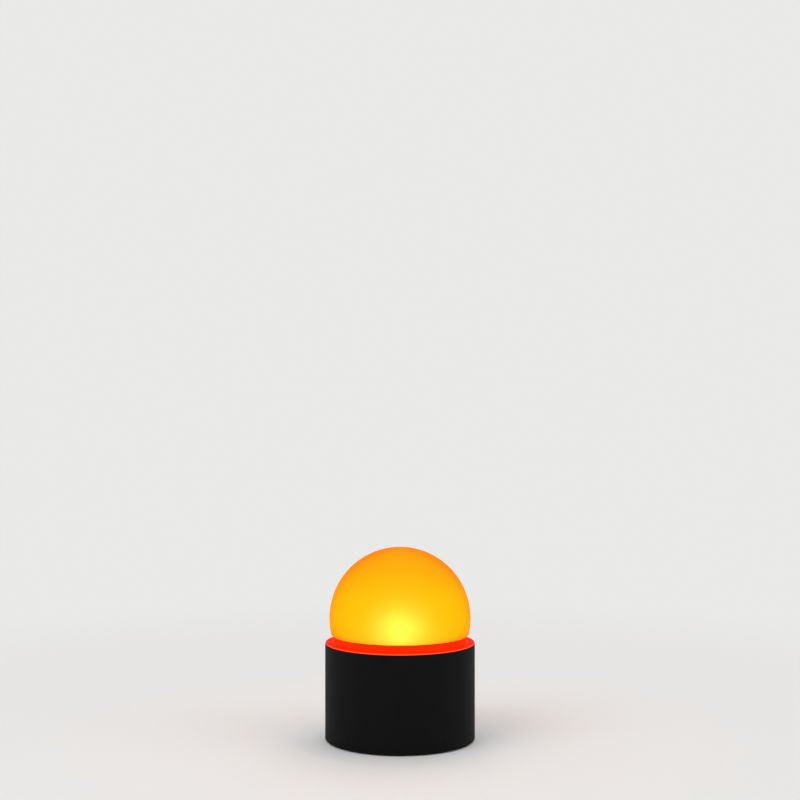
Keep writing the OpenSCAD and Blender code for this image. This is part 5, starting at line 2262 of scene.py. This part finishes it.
@dataclass
class PlainParts:
    """The parts that keep their solids' shape; all but the heat sink get broken edges."""

    parts: tuple[Carried, ...] = (
        Carried("underside_cover", "bottom_cover", HOUSING, 0.25),
        Carried("inlet_bezel", "usb_bezel", BEZEL, 0.2, 3),
        Carried("charge_socket", "usb_socket", SHELL_STEEL, 0.08),
        Carried("lens_cradle", "lens_holder", MILKY, 0.15),
        Carried("weight_plate", "ballast_plate", BALLAST, 0.3),
        Carried("led_panel", "led_board", WHITE_BOARD, 0.08),
        Carried("beam_panel", "beam_board", WHITE_BOARD, 0.08),
        Carried("cell_tray", "battery_holder", INNER, 0.25),
        Carried("cell_contacts", "battery_contacts", SPRING_PLATE, 0.05),
        Carried("driver_panel", "control_board", GREEN_BOARD, 0.08),
        Carried("tact_switch", "push_switch", INNER, 0.12),
        Carried("tact_plunger", "switch_plunger", PLUNGER, 0.1, body=Body.BUTTON),
    )

    def build(self, nodes: dict[str, Piece]) -> None:
        """Builds every part from its solid.

        Args:
            nodes: The CAD nodes by name.
        """
        for part in self.parts:
            piece = from_node(nodes[part.node], part.name, part.edge, part.segments)
            show(piece, part.finish, part.node, body=part.body)
        for slot in nodes["heat_sink"].material_slots:
            slot.material = ALUMINIUM.material()
        LOG.info("heat_sink stays as it is: %s", ALUMINIUM.name)


@dataclass(frozen=True)
class SoftLight:
    """A square light: its name, its place, its side and its power in watts."""

    name: str
    place: Triple
    side: float
    power: float


@dataclass
class Studio:
    """The camera at the photograph's place, a pale sweep and soft lights."""

    camera_place: Triple = (0.0, -1557.0, 360.0)
    lens: float = 65.9
    sensor: float = 36.0
    nearest: float = 10.0
    sweep_half: float = 9000.0
    sweep_back: float = 3200.0
    sweep_height: float = 5000.0
    sweep_round: float = 1600.0
    floor_colour: Colour = (0.86, 0.855, 0.845)
    floor_lighter: float = 1.02
    floor_cloud: float = 400.0
    floor_roughness: float = 0.9
    floor_specular: float = 0.1
    world_level: float = 0.55
    pale: float = 0.82
    backdrop: Colour = (1.0, 0.996, 0.988)
    fade: Point = (350.0, 1100.0)
    aim: Triple = (0.0, 0.0, 100.0)
    soft_lights: tuple[SoftLight, ...] = (
        SoftLight("key_light", (-1300.0, -1200.0, 1700.0), 1600.0, 16.0),
        SoftLight("fill_light", (1700.0, -800.0, 1100.0), 1600.0, 7.0),
        SoftLight("top_light", (200.0, 900.0, 1900.0), 1400.0, 9.0),
    )

    def camera(self) -> None:
        """Sets the camera level, looking straight at the lamp."""
        bpy.ops.object.camera_add(location=Vector(self.camera_place) * MM, rotation=(math.pi / 2, 0, 0))
        camera = bpy.context.view_layer.objects.active
        camera.name = "photo_camera"
        camera.data.lens = self.lens
        camera.data.sensor_width = self.sensor
        camera.data.clip_start = self.nearest * MM
        bpy.context.scene.camera = camera

    def sweep(self) -> None:
        """Shapes floor and backdrop from one plane whose back edge is drawn up and rounded."""
        back = self.sweep_back
        bpy.ops.mesh.primitive_plane_add(
            size=2 * self.sweep_half * MM, location=(0, (back - self.sweep_half) * MM, 0),
        )
        floor = named("studio_sweep")
        with editing(floor):
            pick(floor, lambda middle, way: abs(middle.y - back) < 1, Part.EDGES)
            draw_out((0, 0, self.sweep_height))
            pick(floor, lambda middle, way: abs(middle.y - back) < 1 and abs(middle.z) < 1, Part.EDGES)
            round_off(self.sweep_round, segments=24)
        soften(floor, angle=60)
        floor.data.materials.append(self.paper())

    def paper(self) -> bpy.types.Material:
        """Makes the sweep's pale paper, which runs into an even backdrop away from the lamp.

        Returns:
            The paper.
        """
        material = bpy.data.materials.new("Pale studio paper")
        board = NodeBoard(material)
        board.fix({"Roughness": self.floor_roughness, "Specular IOR Level": self.floor_specular})
        lighter = tuple(min(1.0, self.floor_lighter * c) for c in self.floor_colour)
        board.feed("Base Color", board.mixed(board.noise(self.floor_cloud), self.floor_colour, lighter))
        far = board.ranged(board.reach(), self.fade[0] * MM, self.fade[1] * MM, 0.0, 1.0)
        share = board.maths("MULTIPLY", far, board.seen())
        even = board.add("ShaderNodeEmission", {"Color": (*(self.pale * c for c in self.backdrop), 1.0)})
        board.send("Material Output", share, board.shader, even)
        return material

    def lights(self) -> None:
        """Hangs the soft lights around the lamp."""
        for soft in self.soft_lights:
            bpy.ops.object.light_add(type="AREA", location=Vector(soft.place) * MM)
            light = bpy.context.view_layer.objects.active
            light.name = soft.name
            light.data.size = soft.side * MM
            light.data.energy = soft.power
            way = Vector(self.aim) - Vector(soft.place)
            light.rotation_euler = way.to_track_quat("-Z", "Y").to_euler()

    def air(self) -> None:
        """Sets the world's even light, and the paler backdrop that is seen instead of it."""
        world = bpy.data.worlds.new("Studio air")
        bpy.context.scene.world = world
        world.use_nodes = True
        tree = NodeTree(world.node_tree)
        light = tree.tree.nodes["Background"]
        light.inputs["Color"].default_value = (1.0, 1.0, 1.0, 1.0)
        light.inputs["Strength"].default_value = self.world_level
        shown = tree.add("ShaderNodeBackground", {"Color": (*self.backdrop, 1.0), "Strength": self.pale})
        tree.send("World Output", tree.seen(), light, shown)

    def build(self) -> None:
        """Sets up the studio."""
        bpy.context.scene.view_settings.view_transform = "Standard"
        self.camera()
        self.sweep()
        self.lights()
        self.air()


def main() -> None:
    """Loads the frame, and builds the lamp and the studio."""
    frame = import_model()
    Studio().build()
    GlobeShell().build()
    GlowRing().build()
    BaseShell().build()
    RearPanel().build()
    LightEngine().build()
    Fixings().build()
    Wiring().build()
    CellPair().build()
    DriverParts().build()
    PlainParts().build(frame["nodes"])


if __name__ == "__main__":
    logging.basicConfig(level=logging.INFO, format="%(message)s")
    main()
